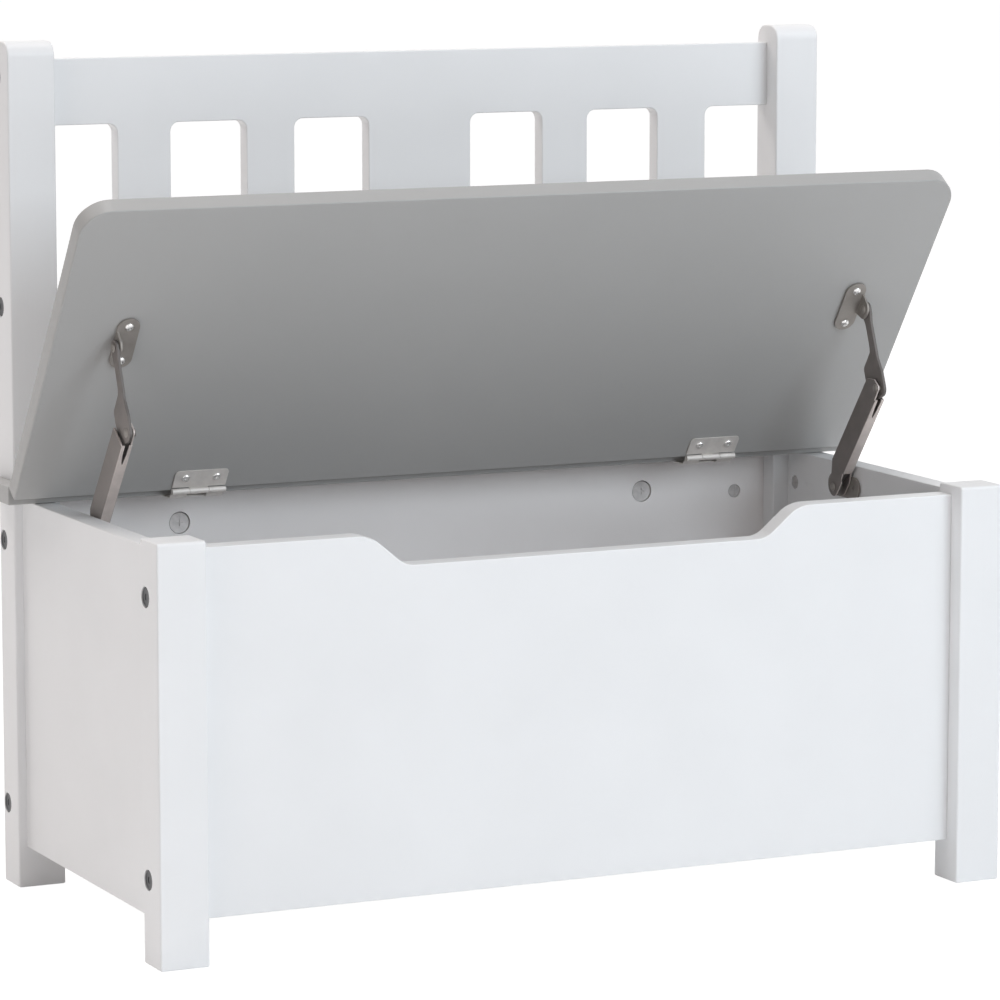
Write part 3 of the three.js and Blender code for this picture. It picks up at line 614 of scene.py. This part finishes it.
class BENCH_OT_connector_bolts(bpy.types.Operator):
    """Turn the hex-socket connector bolts and their slotted barrel nuts"""

    bl_idname = "bench.connector_bolts"
    bl_label = "Connector bolts"

    def execute(self, context):
        sizes = context.scene.bench_sizes
        low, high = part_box("bolt_right_rear_upper")
        bolt = self.bolt(sizes, high.x - low.x)
        for side, sign in SIDES.items():
            for place in PLACES:
                node = f"bolt_{side}_{place}"
                seat = at(bolt_spot(side, place)) @ HEAD_SIDEWAYS[sign]
                fit(bolt, f"{node}_turned", seat, "bolt_steel", "box", node)
            for index, spot in enumerate(cross_bolt_spots(side), 1):
                seat = at(spot) @ HEAD_BACK
                fit(bolt, f"cross_bolt_{side}_{index}", seat, "bolt_steel", "box")
        discard(bolt)
        for side, sign in SIDES.items():
            for place in PLACES:
                self.side_nut(sizes, side, place)
            for index, spot in enumerate(cross_bolt_spots(side), 1):
                sunk = Vector((sign * 0.5 * MM, 0, 0))
                seat = at(cross_nut_spot(side, spot) + sunk) @ HEAD_SIDEWAYS[-sign]
                self.nut(sizes, f"cross_nut_{side}_{index}", seat, 11 * MM, 7 * MM)
        return {"FINISHED"}

    def bolt(self, sizes, reach):
        """A bolt with its head's face at the origin and its shank downwards."""
        head = sizes.bolt_head
        shank = sizes.bolt_shank
        dish = 0.3 * MM
        under = 2.5 * MM
        socket_depth = 0.6 * MM
        profile = [
            (0, -dish), (head * 0.74, -dish), (head * 0.80, 0), (head * 0.93, 0), (head, -0.5 * MM),
            (head, -under), (shank, -under), (shank, 0.6 * MM - reach), (shank * 0.7, -reach),
            (0, -reach),
        ]
        piece = turned("bolt_pattern", profile)
        socket = bmesh.new()
        rod(socket, sizes.hex_key / math.sqrt(3), (0, 0, -socket_depth), (0, 0, LEAD), 6)
        combine(piece, socket)
        return piece

    def side_nut(self, sizes, side, place):
        """The nut of a bolt from the side, its slot at the board's face."""
        node = f"barrel_nut_{side}_{place}"
        low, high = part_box(node)
        turn = HEAD_FRONT if place.startswith("rear") else HEAD_BACK
        spot = middle(node)
        spot.y = high.y if turn is HEAD_BACK else low.y
        bolt_line = abs(middle(f"bolt_{side}_{place}").y - spot.y)
        seat = at(spot) @ turn
        self.nut(sizes, f"{node}_turned", seat, high.y - low.y, bolt_line, node)

    def nut(self, sizes, name, seat, reach, bolt_line, *nodes):
        """A barrel nut, drawn with its slotted end at the origin."""
        radius = sizes.nut_radius
        chamfer = 0.5 * MM
        profile = [
            (0, 0), (radius - chamfer, 0), (radius, -chamfer), (radius, chamfer - reach),
            (radius - chamfer, -reach), (0, -reach),
        ]
        piece = turned(name, profile)
        slot = 0.5 * MM
        slot_floor = -0.4 * MM
        past = 5 * MM
        through = 9 * MM
        bore = sizes.bolt_shank + sizes.clearance
        cuts = bmesh.new()
        block(cuts, (-slot, -past, slot_floor), (slot, past, LEAD))
        rod(cuts, bore, (-through, 0, -bolt_line), (through, 0, -bolt_line), 20)
        combine(piece, cuts)
        piece.data.transform(seat)
        finish(piece, "zinc_steel", "box", *nodes)


class BENCH_OT_cam_fittings(bpy.types.Operator):
    """Cast the cam locks in the back board"""

    bl_idname = "bench.cam_fittings"
    bl_label = "Cam fittings"

    def execute(self, context):
        for side in SIDES:
            self.cam(context.scene.bench_sizes, side)
            dress(f"cam_bolt_{side}", "zinc_steel")
        return {"FINISHED"}

    def cam(self, sizes, side):
        """A cam drum with a rimmed face, a cross recess and an arrow, drawn with its face at the origin."""
        node = f"cam_lock_{side}"
        low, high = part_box(node)
        sunk = 0.5 * MM
        reach = high.y - low.y - sunk
        radius = sizes.cam_radius
        dish = 0.15 * MM
        profile = [
            (0, -dish), (radius * 0.82, -dish), (radius * 0.86, 0), (radius * 0.96, 0),
            (radius, -0.3 * MM), (radius, -reach), (0, -reach),
        ]
        piece = turned(f"cam_{side}", profile, 48)
        cuts = bmesh.new()
        cross_recess(cuts, 2.3 * MM, 0.4 * MM, -0.7 * MM, LEAD)
        arrow = [(-0.9 * MM, 3.6 * MM, 0), (0.9 * MM, 3.6 * MM, 0), (0, 5 * MM, 0)]
        prism(cuts, FROM_ABOVE, arrow, -0.45 * MM, 0.5 * MM)
        bolt_line = -reach * 0.62
        rod(cuts, sizes.bolt_shank + sizes.clearance, (0, 0, bolt_line), (0, 10 * MM, bolt_line), 20)
        combine(piece, cuts)
        face = middle(node)
        face.y = low.y + sunk
        piece.data.transform(at(face) @ HEAD_FRONT)
        finish(piece, "zinc_steel", "box", node)


# ---------------- boards


def end_cuts(node, axis):
    """Blocks that cut a board's two ends square, a hair short of the pieces it butts against."""
    low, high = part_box(node)
    past = 20 * MM
    proud = 0.25 * MM
    bm = bmesh.new()
    for end, sign in ((low, -1), (high, 1)):
        near = [value - past for value in low]
        far = [value + past for value in high]
        face = end[axis] + sign * proud
        near[axis], far[axis] = sorted((face, face + sign * past))
        block(bm, near, far)
    return bm


def saw_and_paint(piece, sizes, cuts, look, node):
    """Rounds a white board's edges, cuts its ends and holes, and paints it."""
    round_edges(piece, sizes.board_round)
    combine(piece, cuts)
    round_edges(piece, BOARD_EDGE, 2)
    finish(piece, look, "box", node, slot="white_board")


class BENCH_OT_posts(bpy.types.Operator):
    """Plane the rear posts and front legs, with counterbored bolt holes"""

    bl_idname = "bench.posts"
    bl_label = "Posts and legs"

    def execute(self, context):
        sizes = context.scene.bench_sizes
        reach = 40 * MM
        for side, sign in SIDES.items():
            inward = Vector((-sign, 0, 0))
            post_holes = bmesh.new()
            for place in PLACES[2:]:
                bolt_hole(post_holes, sizes, bolt_spot(side, place), inward, reach)
            for spot in cross_bolt_spots(side):
                bolt_hole(post_holes, sizes, spot, Vector((0, -1, 0)), reach)
            self.stick(f"rear_post_{side}", sizes, sizes.post_top, post_holes)
            leg_holes = bmesh.new()
            for place in PLACES[:2]:
                bolt_hole(leg_holes, sizes, bolt_spot(side, place), inward, reach)
            self.stick(f"front_leg_{side}", sizes, sizes.leg_top, leg_holes)
        return {"FINISHED"}

    def stick(self, node, sizes, top_radius, holes):
        """A squared length of wood with a rounded top and bolt holes."""
        low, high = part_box(node)
        profile = rectangle(low.y, low.z, high.y, high.z, 0, top_radius)
        piece = plate(f"{node}_wood", SIDE_ON, profile, low.x, high.x, 10)
        round_edges(piece, sizes.post_round)
        combine(piece, holes)
        round_edges(piece, WOOD_EDGE, 2)
        finish(piece, "white_wood", "box", node)


class BENCH_OT_boards(bpy.types.Operator):
    """Cut the front, back, side and bottom boards of the box"""

    bl_idname = "bench.boards"
    bl_label = "Box boards"

    def execute(self, context):
        sizes = context.scene.bench_sizes
        self.front(sizes)
        self.back(sizes)
        for side, sign in SIDES.items():
            self.side(sizes, side, sign)
        dress("bottom_panel", "painted_light_inner_board")
        return {"FINISHED"}

    def front(self, sizes):
        """The front board with its hand cut-out."""
        low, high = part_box("front_panel")
        half_top = 150 * MM
        half_floor = 126 * MM
        floor = high.z - 20 * MM
        past = high.x + 2 * MM
        outline = [
            (-past, low.z, 0), (past, low.z, 0), (past, high.z, 0),
            (half_top, high.z, sizes.cutout_lip), (half_floor, floor, sizes.cutout_foot),
            (-half_floor, floor, sizes.cutout_foot), (-half_top, high.z, sizes.cutout_lip),
            (-past, high.z, 0),
        ]
        piece = plate("front_board", FRONT_ON, outline, low.y, high.y, 10)
        cuts = end_cuts("front_panel", 0)
        nut_holes(cuts, sizes, PLACES[:2])
        saw_and_paint(piece, sizes, cuts, "white_board", "front_panel")

    def back(self, sizes):
        """The back board, bored for its cams and nuts."""
        low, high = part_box("back_panel")
        past = Vector((2 * MM, 0, 0))
        sag = 0.25 * MM
        piece = slab("back_board", low - past, high + past)
        cuts = end_cuts("back_panel", 0)
        nut_holes(cuts, sizes, PLACES[2:4])
        for side in SIDES:
            start = middle(f"cam_lock_{side}")
            start.z += sag
            end = start.copy()
            start.y = low.y - LEAD
            end.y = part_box(f"cam_lock_{side}")[1].y
            rod(cuts, sizes.cam_radius + sizes.snug + sag, start, end, 48)
        saw_and_paint(piece, sizes, cuts, "painted_light_inner_board", "back_panel")

    def side(self, sizes, side, sign):
        """A side board, bored on its inner face for the nuts of the bolts from behind."""
        node = f"side_panel_{side}"
        low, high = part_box(node)
        past = Vector((0, 2 * MM, 0))
        piece = slab(f"side_board_{side}", low - past, high + past)
        cuts = end_cuts(node, 1)
        for spot in cross_bolt_spots(side):
            centre = cross_nut_spot(side, spot)
            start = centre - Vector((sign * 2 * MM, 0, 0))
            end = centre + Vector((sign * 11.5 * MM, 0, 0))
            rod(cuts, sizes.nut_radius + sizes.snug, start, end)
        saw_and_paint(piece, sizes, cuts, "white_board", node)


class BENCH_OT_backrest(bpy.types.Operator):
    """Cut the slotted backrest board"""

    bl_idname = "bench.backrest"
    bl_label = "Backrest"

    def execute(self, context):
        sizes = context.scene.bench_sizes
        low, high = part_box("backrest_panel")
        corner = sizes.slot_corner
        rail = 43 * MM
        bottom = low.z + rail
        top = high.z - rail
        centre_slat = 74.5 * MM
        slat = 34 * MM
        slot = 53.5 * MM
        end_slat = 37 * MM
        first = centre_slat / 2
        second = first + slot + slat
        end = second + slot + end_slat
        past = high.x + 2 * MM
        through = 5 * MM
        right = [
            (past, low.z, 0), (past, bottom, 0), (end, bottom, corner), (end, top, corner),
            (past, top, 0), (past, high.z, 0),
        ]
        piece = plate("backrest_board", FRONT_ON, mirrored(right), low.y, high.y, 8)
        slots = bmesh.new()
        for start in (first, second):
            for sign in SIDES.values():
                outline = rectangle(sign * start, bottom, sign * (start + slot), top, corner, corner)
                prism(slots, FRONT_ON, outline, low.y - through, high.y + through, 8)
        combine(piece, slots)
        cuts = end_cuts("backrest_panel", 0)
        nut_holes(cuts, sizes, PLACES[4:])
        saw_and_paint(piece, sizes, cuts, "white_board", "backrest_panel")
        return {"FINISHED"}


def lid_place(degrees=None):
    """A frame on the lid's hinge axis, turned open or by an angle."""
    joint = JOINTS["lid_hinge"]
    opened = math.radians(joint["range_deg"][0] if degrees is None else degrees)
    return at(joint["pos_m"]) @ Matrix.Rotation(opened, 4, "X")


class BENCH_OT_seat(bpy.types.Operator):
    """Cut the lid and the fixed rear strip of the seat"""

    bl_idname = "bench.seat"
    bl_label = "Seat boards"

    def execute(self, context):
        sizes = context.scene.bench_sizes
        self.lid(sizes)
        self.strip(sizes)
        return {"FINISHED"}

    def lid(self, sizes):
        """The lid, round at its front corners."""
        place = lid_place()
        low, high = box_in("seat_lid", place)
        outline = rectangle(low.x, low.y, high.x, high.y, sizes.lid_corner, 0)
        piece = plate("lid_board", FROM_ABOVE, outline, low.z, high.z, 16)
        round_edges(piece, sizes.seat_round)
        piece.data.transform(place)
        finish(piece, "grey_board", "lid", "seat_lid")

    def strip(self, sizes):
        """The rear strip, notched round the posts."""
        low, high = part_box("seat_rear_strip")
        post_low, post_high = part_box("rear_post_right")
        gap = sizes.clearance
        inner = post_low.x - gap
        outer = post_high.x + gap
        notch = post_low.y - gap
        right = [
            (high.x, low.y, 0), (high.x, high.y, 0), (outer, high.y, 0), (outer, notch, 0),
            (inner, notch, 0), (inner, high.y, 0),
        ]
        piece = plate("rear_strip_board", FROM_ABOVE, mirrored(right), low.z, high.z)
        round_edges(piece, sizes.seat_round)
        finish(piece, "grey_board", "box", "seat_rear_strip")


# ---------------- screws and hinges


def screw_pattern(sizes, countersunk=False):
    """A wood screw with a cross recess: a pan head above the origin, or a flat one below it."""
    radius = sizes.screw_head
    shank = 1.4 * MM
    if countersunk:
        head = [(0, 0), (radius, 0), (shank, -1.4 * MM)]
        recess = (-0.8 * MM, LEAD)
    else:
        head = [*dome(radius, 1.5 * MM, 0.2 * MM), (radius, 0), (shank, 0)]
        recess = (0.7 * MM, 3 * MM)
    piece = turned("screw_pattern", [*head, (shank, -6 * MM), (0, -9 * MM)], 28)
    cuts = bmesh.new()
    cross_recess(cuts, 1.45 * MM, 0.32 * MM, *recess)
    combine(piece, cuts)
    return piece


class BENCH_OT_hinges(bpy.types.Operator):
    """Roll the hinge leaves and drive their screws"""

    bl_idname = "bench.hinges"
    bl_label = "Hinges"

    def execute(self, context):
        sizes = context.scene.bench_sizes
        screw = screw_pattern(sizes)
        for side in SIDES:
            across = at((middle(f"hinge_{side}_pin").x, 0, 0))
            self.leaf(sizes, f"hinge_{side}_lid_leaf", lid_place() @ across, 10.4 * MM, "lid", screw)
            self.leaf(sizes, f"hinge_{side}_fixed_leaf", lid_place(180) @ across, 22 * MM, "box", screw)
            dress(f"hinge_{side}_pin", "hinge_steel")
        discard(screw)
        return {"FINISHED"}

    def leaf(self, sizes, node, place, inset, body, screw):
        """One leaf, drawn with its plate to the front, and its two screws.

        The strip's leaf is cranked, so its plate lies clear above the knuckles."""
        low, high = box_in(node, place)
        outer = sizes.knuckle
        sheet = sizes.strip
        gap = sizes.clearance
        half = high.x
        tongue = 6.5 * MM
        corner = 3 * MM
        top = high.z
        crank = top - outer
        cranked = crank > gap
        run = 2.2 * crank if cranked else 0
        root = outer + gap + run
        spans = [(-half, -tongue - gap), (tongue + gap, half)] if cranked else [(-tongue, tongue)]
        outline = rectangle(-half, low.y, half, -root, corner, 0)
        piece = plate(f"{node}_pressed", FROM_ABOVE, outline, top - sheet, top, 5)
        for start, end in spans:
            rolled = bmesh.new()
            steps = [(-outer - gap, 0), (outer - root, 0)]
            if cranked:
                steps = [(-outer - gap, 0), (-crank, crank), (outer + crank - root, 0)]
            self.knuckle(rolled, start, end, outer, sheet, steps)
            combine(piece, rolled, "UNION")
        level = top if cranked else top - sheet
        turn = HEAD_UP if cranked else HEAD_DOWN
        beside = 10.75 * MM
        spots = [Vector((sign * beside, -inset, level)) for sign in SIDES.values()]
        holes = bmesh.new()
        bore = 1.7 * MM
        deep = Vector((0, 0, 3 * MM))
        for spot in spots:
            rod(holes, bore, spot - deep, spot + deep, 20)
        combine(piece, holes)
        round_edges(piece, LEAF_EDGE, 2)
        piece.data.transform(place)
        finish(piece, "hinge_steel", body, node)
        for index, spot in enumerate(spots, 1):
            seat = place @ at(spot) @ turn
            fit(screw, f"{node}_screw_{index}", seat, "screw_steel", body, slot="hinge_steel")

    def knuckle(self, bm, start, end, outer, sheet, steps):
        """A strip rolled round the pin, with a tail that runs out to the plate in steps."""
        inner = outer - sheet
        rolled = math.radians(318)
        corners = ((start, 0, inner), (end, 0, inner), (end, 0, outer), (start, 0, outer))
        mouth = [bm.verts.new(corner) for corner in corners]
        tip = bm.faces.new(mouth)
        for step in steps:
            grown = bmesh.ops.extrude_face_region(bm, geom=[tip])["geom"]
            fresh = [item for item in grown if isinstance(item, bmesh.types.BMVert)]
            tip = next(item for item in grown if isinstance(item, bmesh.types.BMFace))
            bmesh.ops.translate(bm, verts=fresh, vec=(0, *step))
        open_end = bm.faces.get(mouth) or bm.faces.new(mouth)
        bmesh.ops.spin(
            bm, geom=[open_end, *open_end.edges, *open_end.verts], axis=(1, 0, 0), cent=(0, 0, 0),
            angle=-rolled, steps=22,
        )


# ---------------- lid stays


def leaning(start, end):
    """A frame at one pivot of a stay, leaning about X towards the next pivot."""
    way = end - start
    return at(start) @ Matrix.Rotation(math.atan2(-way.y, way.z), 4, "X")


class BENCH_OT_lid_stays(bpy.types.Operator):
    """Press, rivet and screw on the folding lid stays"""

    bl_idname = "bench.lid_stays"
    bl_label = "Lid stays"

    def execute(self, context):
        sizes = context.scene.bench_sizes
        pan_head = screw_pattern(sizes)
        flat_head = screw_pattern(sizes, countersunk=True)
        for side, sign in SIDES.items():
            base = Vector(JOINTS[f"stay_{side}_channel_pivot"]["pos_m"])
            elbow = Vector(JOINTS[f"stay_{side}_elbow"]["pos_m"])
            base.x = elbow.x = middle(f"stay_{side}_channel").x
            self.channel(side, sign, leaning(base, elbow))
            self.arm(side, leaning(elbow, middle(f"stay_{side}_top_rivet")))
            self.bracket(side, sign, pan_head)
            self.base_plate(sizes, side, sign, flat_head)
            self.rivets(sizes, side, sign)
        discard(pan_head)
        discard(flat_head)
        return {"FINISHED"}

    def channel(self, side, sign, place):
        """The open-backed channel, slotted at the top of its web."""
        node = f"stay_{side}_channel"
        low, high = box_in(node, place)
        half = high.x
        wall = 1.2 * MM
        front = -4.2 * MM
        set_back = -3.2 * MM
        rear = high.y
        lug = 6 * MM
        lug_round = lug - 0.5 * MM
        elbow = 92.4 * MM
        ears = elbow + 3.2 * MM
        web_top = elbow - 7.5 * MM
        web_bottom = 16 * MM
        profile = [
            (front, web_bottom, 0), (set_back, web_bottom, 0), (-lug, 9 * MM, 2 * MM),
            (-lug, -lug, lug_round), (lug, -lug, lug_round), (lug + 2 * MM, 6 * MM, 1 * MM),
            (rear, 14 * MM, 2 * MM), (rear, 89.5 * MM, 1.5 * MM), (5.5 * MM, ears, 2.5 * MM),
            (-2.8 * MM, ears, 2.6 * MM), (set_back, web_top, 0), (front, web_top, 0),
        ]
        bm = bmesh.new()
        prism(bm, SIDE_ON, profile, -half, half)
        folds = [
            edge
            for edge in bm.edges
            if all(abs(vert.co.y - front) < 0.1 * MM for vert in edge.verts)
            and edge.calc_length() > 40 * MM
        ]
        bmesh.ops.bevel(
            bm, geom=folds, offset=0.8 * MM, affect="EDGES", segments=4, profile=0.5, material=-1
        )
        piece = new_piece(f"{node}_pressed", bm)
        inside = half - wall
        before = -20 * MM
        behind = 30 * MM
        above = elbow + 20 * MM
        overlap = 0.01 * MM
        cuts = bmesh.new()
        block(cuts, (-inside, front + wall, web_bottom - overlap), (inside, behind, web_top))
        block(cuts, (-inside, before, web_top - overlap), (inside, behind, above))
        block(cuts, (-inside, before, before), (inside, behind, web_bottom))
        # the slit opens upwards, wide enough for the arm's heel when the stay is folded
        left = [
            (-1.4 * MM, web_top + LEAD, 0), (-1.2 * MM, web_top - 8 * MM, 0),
            (-0.3 * MM, web_top - 16 * MM, 0),
        ]
        prism(cuts, FRONT_ON, mirrored(left), before, 0)
        near, far = sorted((0, sign * (half + LEAD)))
        block(cuts, (near, before, web_top), (far, behind, above))
        combine(piece, cuts)
        round_edges(piece, STAY_EDGE, 2)
        piece.data.transform(place)
        finish(piece, "channel_steel", f"channel_{side}", node, slot="stay_steel")

    def arm(self, side, place):
        """The flat upper arm with its wide heel at the elbow."""
        node = f"stay_{side}_arm"
        low, high = box_in(node, place)
        half = 3.5 * MM
        lug = 6 * MM
        tip = 5 * MM
        tip_round = tip - 0.1 * MM
        top = 54.8 * MM
        neck = top - 10 * MM
        heel = high.y
        profile = [
            (-tip, top + tip, tip_round), (-tip, top - 4 * MM, 2 * MM), (-half, neck, 4 * MM),
            (-half, 20 * MM, 6 * MM), (-lug, 10 * MM, 4 * MM), (-lug, -lug, lug - 0.5 * MM),
            (lug, -lug, 4 * MM), (heel, 4 * MM, 2 * MM), (heel, 18 * MM, 3.5 * MM),
            (half + 1 * MM, 26 * MM, 2.5 * MM), (half, 29 * MM, 2 * MM), (half, neck, 4 * MM),
            (tip, top - 4 * MM, 2 * MM), (tip, top + tip, tip_round),
        ]
        piece = plate(f"{node}_pressed", SIDE_ON, profile, low.x, high.x)
        round_edges(piece, STAY_EDGE, 2)
        piece.data.transform(place)
        finish(piece, "arm_steel", f"arm_{side}", node, slot="stay_steel")

    def bracket(self, side, sign, screw):
        """The bracket under the lid, with an ear bent down beside the arm."""
        node = f"stay_{side}_bracket"
        place = lid_place()
        low, high = box_in(node, place)
        sheet = BRACKET_STRIP
        round_end = (high.x - low.x) / 2 - 0.1 * MM
        outline = rectangle(low.x, low.y, high.x, high.y, round_end, round_end)
        piece = plate(f"{node}_pressed", FROM_ABOVE, outline, high.z - sheet, high.z, 10)
        pivot = place.inverted() @ middle(f"stay_{side}_top_rivet")
        lug = 5.5 * MM
        lug_round = lug - 0.1 * MM
        splay = 3 * MM
        ear = [
            (pivot.y - lug - splay, high.z, 0), (pivot.y - lug, pivot.z - lug, lug_round),
            (pivot.y + lug, pivot.z - lug, lug_round), (pivot.y + lug + splay, high.z, 0),
        ]
        bent = bmesh.new()
        start = high.x - sheet if sign > 0 else low.x
        prism(bent, SIDE_ON, ear, start, start + sheet, 8)
        combine(piece, bent, "UNION")
        round_edges(piece, STAY_EDGE, 2)
        piece.data.transform(place)
        finish(piece, "stay_steel", "lid", node)
        centre = (low + high) / 2
        for index, offset in enumerate((-13.85 * MM, 13.85 * MM), 1):
            spot = Vector((centre.x, centre.y + offset, high.z - sheet))
            seat = place @ at(spot) @ HEAD_DOWN
            fit(screw, f"{node}_screw_{index}", seat, "screw_steel", "lid", slot="stay_steel")

    def base_plate(self, sizes, side, sign, screw):
        """The round-ended plate on the side board, countersunk so that the channel clears its screws."""
        node = f"stay_{side}_base"
        low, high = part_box(node)
        round_end = (high.z - low.z) / 2 - 0.1 * MM
        outline = rectangle(low.y, low.z, high.y, high.z, round_end, round_end)
        piece = plate(f"{node}_pressed", SIDE_ON, outline, low.x, high.x, 10)
        round_edges(piece, STAY_EDGE, 2)
        centre = middle(node)
        centre.x = face_x(node, -sign)
        seats = [
            at(centre + Vector((0, offset, 0))) @ HEAD_SIDEWAYS[-sign]
            for offset in (-13.5 * MM, 13.5 * MM)
        ]
        rim = sizes.screw_head + sizes.snug
        above = 0.5 * MM
        below = 2 * MM
        sinks = bmesh.new()
        for seat in seats:
            lathe(sinks, [(0, above), (rim + above, above), (rim - below, -below), (0, -below)], seat, 28)
        combine(piece, sinks)
        finish(piece, "stay_steel", "box", node)
        for index, seat in enumerate(seats, 1):
            sunk = seat @ at((0, 0, -0.1 * MM))
            fit(screw, f"{node}_screw_{index}", sunk, "stay_steel", "box")

    def rivets(self, sizes, side, sign):
        """Domed rivets at the three pivots, and the head on the bracket's ear."""
        rise = 1.1 * MM
        shank = 2 * MM
        head = [*dome(sizes.rivet_head, rise), (shank, 0)]
        for name, body, way in (
            ("base_rivet", "box", -sign), ("elbow_rivet", f"arm_{side}", sign),
            ("top_rivet", f"arm_{side}", sign),
        ):
            node = f"stay_{side}_{name}"
            seat = middle(node)
            seat.x = face_x(node, way) - way * rise
            low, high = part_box(node)
            reach = high.x - low.x - rise
            profile = [*head, (shank, -reach), (0, -reach)]
            if name == "elbow_rivet":
                arm_face = face_x(f"stay_{side}_arm", way)
                reach -= abs(seat.x - arm_face) + rise
                seat.x = arm_face
                profile = [*head, *((radius, -reach - height) for radius, height in reversed(head))]
            piece = turned(f"{node}_headed", profile, 28)
            piece.data.transform(at(seat) @ HEAD_SIDEWAYS[way])
            finish(piece, "stay_steel", body, node)
        place = lid_place()
        low, high = box_in(f"stay_{side}_bracket", place)
        sheet = BRACKET_STRIP
        seat = place.inverted() @ middle(f"stay_{side}_top_rivet")
        seat.x = high.x - sheet if sign > 0 else low.x + sheet
        piece = turned(f"stay_{side}_ear_rivet", [*head, (shank, -sheet), (0, -sheet)], 28)
        piece.data.transform(place @ at(seat) @ HEAD_SIDEWAYS[-sign])
        finish(piece, "stay_steel", "lid")


# ---------------- studio


def camera_or_mirror(tree):
    """1 for rays from the camera, a mirror or glass, and 0 for light that falls on things."""
    path = add_node(tree, "LightPath").outputs
    first = add_node(tree, "Math", {0: path["Is Camera Ray"], 1: path["Is Glossy Ray"]}, operation="MAXIMUM")
    return add_node(tree, "Math", {0: first, 1: path["Is Transmission Ray"]}, operation="MAXIMUM")


class BENCH_OT_stage(bpy.types.Operator):
    """Set up the white studio: floor, camera and soft light"""

    bl_idname = "bench.stage"
    bl_label = "Studio"

    def execute(self, context):
        stage = context.scene.bench_stage
        self.floor(context.scene.bench_colours.background)
        self.camera(context.scene, stage)
        cool = (0.91, 1.0, 1.07)
        warm = (1.05, 1.0, 0.97)
        small = 0.6
        broad = 1.4
        for name, colour, size, turn, height in (
            ("key", cool, small, 45, 43), ("front", cool, broad, 20, 18), ("fill", warm, broad, -60, 8),
            ("back", warm, broad, -150, 45), ("top", warm, broad, 0, 88),
        ):
            lamp = bpy.data.lights.new(f"{name}_light", "AREA")
            lamp.energy = getattr(stage, f"{name}_power")
            lamp.size = size
            lamp.color = colour
            self.hang(lamp, math.radians(turn), math.radians(height))
        self.world(context.scene, stage)
        context.scene.view_settings.view_transform = "Standard"
        return {"FINISHED"}

    def floor(self, colour):
        """A white floor that keeps only a faint trace of the bench's shadow."""
        bm = bmesh.new()
        bmesh.ops.create_grid(bm, x_segments=1, y_segments=1, size=30)
        floor = new_piece("studio_floor", bm)
        material = start_material("white_studio_floor")
        tree = material.node_tree
        matt = add_node(tree, "BsdfDiffuse", {"Color": (*colour, 1)})
        glow = add_node(tree, "Emission", {"Color": (*colour, 1), "Strength": 1.35})
        glow_share = 0.7
        share = add_node(tree, "Math", {0: camera_or_mirror(tree), 1: glow_share}, operation="MULTIPLY")
        mixed = add_node(tree, "MixShader", {0: share, 1: matt, 2: glow})
        add_node(tree, "OutputMaterial", {"Surface": mixed})
        floor.data.materials.append(material)

    def camera(self, scene, stage):
        """A long lens at the eye, turned and tilted towards the bench."""
        data = bpy.data.cameras.new("camera")
        data.sensor_width = 36
        data.lens = stage.lens
        data.clip_end = 100
        camera = link("camera", data)
        camera.location = stage.eye
        camera.rotation_euler = (math.pi / 2 - stage.tilt, 0, -stage.pan)
        scene.camera = camera

    def hang(self, lamp, turn, height):
        """Hangs a lamp aimed at the bench, turned to the right of the front and raised."""
        aim = Matrix.Rotation(turn, 3, "Z") @ Matrix.Rotation(-height, 3, "X")
        distance = 3.2
        target = Vector((0, 0, 0.25))
        way = aim @ Vector((0, -distance, 0))
        hung = link(lamp.name, lamp)
        hung.location = target + way
        hung.rotation_euler = way.to_track_quat("Z", "Y").to_euler()

    def world(self, scene, stage):
        """Even light from all round, and a white background for the camera and for reflections."""
        world = bpy.data.worlds.new("studio")
        world.use_nodes = True
        tree = world.node_tree
        tree.nodes.clear()
        seen = camera_or_mirror(tree)
        level = add_node(tree, "MapRange", {"Value": seen, "To Min": stage.ambient, "To Max": 1.0})
        warm = add_node(
            tree, "MixRGB", {"Fac": seen, "Color1": (1.05, 0.985, 0.985, 1), "Color2": (1, 1, 1, 1)}
        )
        light = add_node(tree, "Background", {"Color": warm, "Strength": level})
        add_node(tree, "OutputWorld", {"Surface": light})
        scene.world = world


# ---------------- add-on


OPERATORS = (
    BENCH_OT_posts, BENCH_OT_boards, BENCH_OT_backrest, BENCH_OT_seat, BENCH_OT_connector_bolts,
    BENCH_OT_cam_fittings, BENCH_OT_hinges, BENCH_OT_lid_stays, BENCH_OT_stage,
)


class BENCH_PT_panel(bpy.types.Panel):
    """Lists the bench's steps and settings"""

    bl_label = "Storage bench"
    bl_idname = "BENCH_PT_panel"
    bl_space_type = "VIEW_3D"
    bl_region_type = "UI"
    bl_category = "Bench"

    def draw(self, context):
        for group in (context.scene.bench_sizes, context.scene.bench_colours, context.scene.bench_stage):
            column = self.layout.column()
            for name in group.bl_rna.properties.keys():
                if name not in ("rna_type", "name"):
                    column.prop(group, name)
        for operator in OPERATORS:
            self.layout.operator(operator.bl_idname)


CLASSES = (BenchSizes, BenchColours, BenchStage, *OPERATORS, BENCH_PT_panel)


def register():
    """Registers the add-on's classes and settings."""
    for cls in CLASSES:
        bpy.utils.register_class(cls)
    bpy.types.Scene.bench_sizes = bpy.props.PointerProperty(type=BenchSizes)
    bpy.types.Scene.bench_colours = bpy.props.PointerProperty(type=BenchColours)
    bpy.types.Scene.bench_stage = bpy.props.PointerProperty(type=BenchStage)


def unregister():
    """Removes the add-on's classes and settings."""
    del bpy.types.Scene.bench_stage
    del bpy.types.Scene.bench_colours
    del bpy.types.Scene.bench_sizes
    for cls in reversed(CLASSES):
        bpy.utils.unregister_class(cls)


def main():
    """Builds the bench."""
    register()
    for operator in OPERATORS:
        group, name = operator.bl_idname.split(".")
        getattr(getattr(bpy.ops, group), name)()


if __name__ == "__main__":
    main()
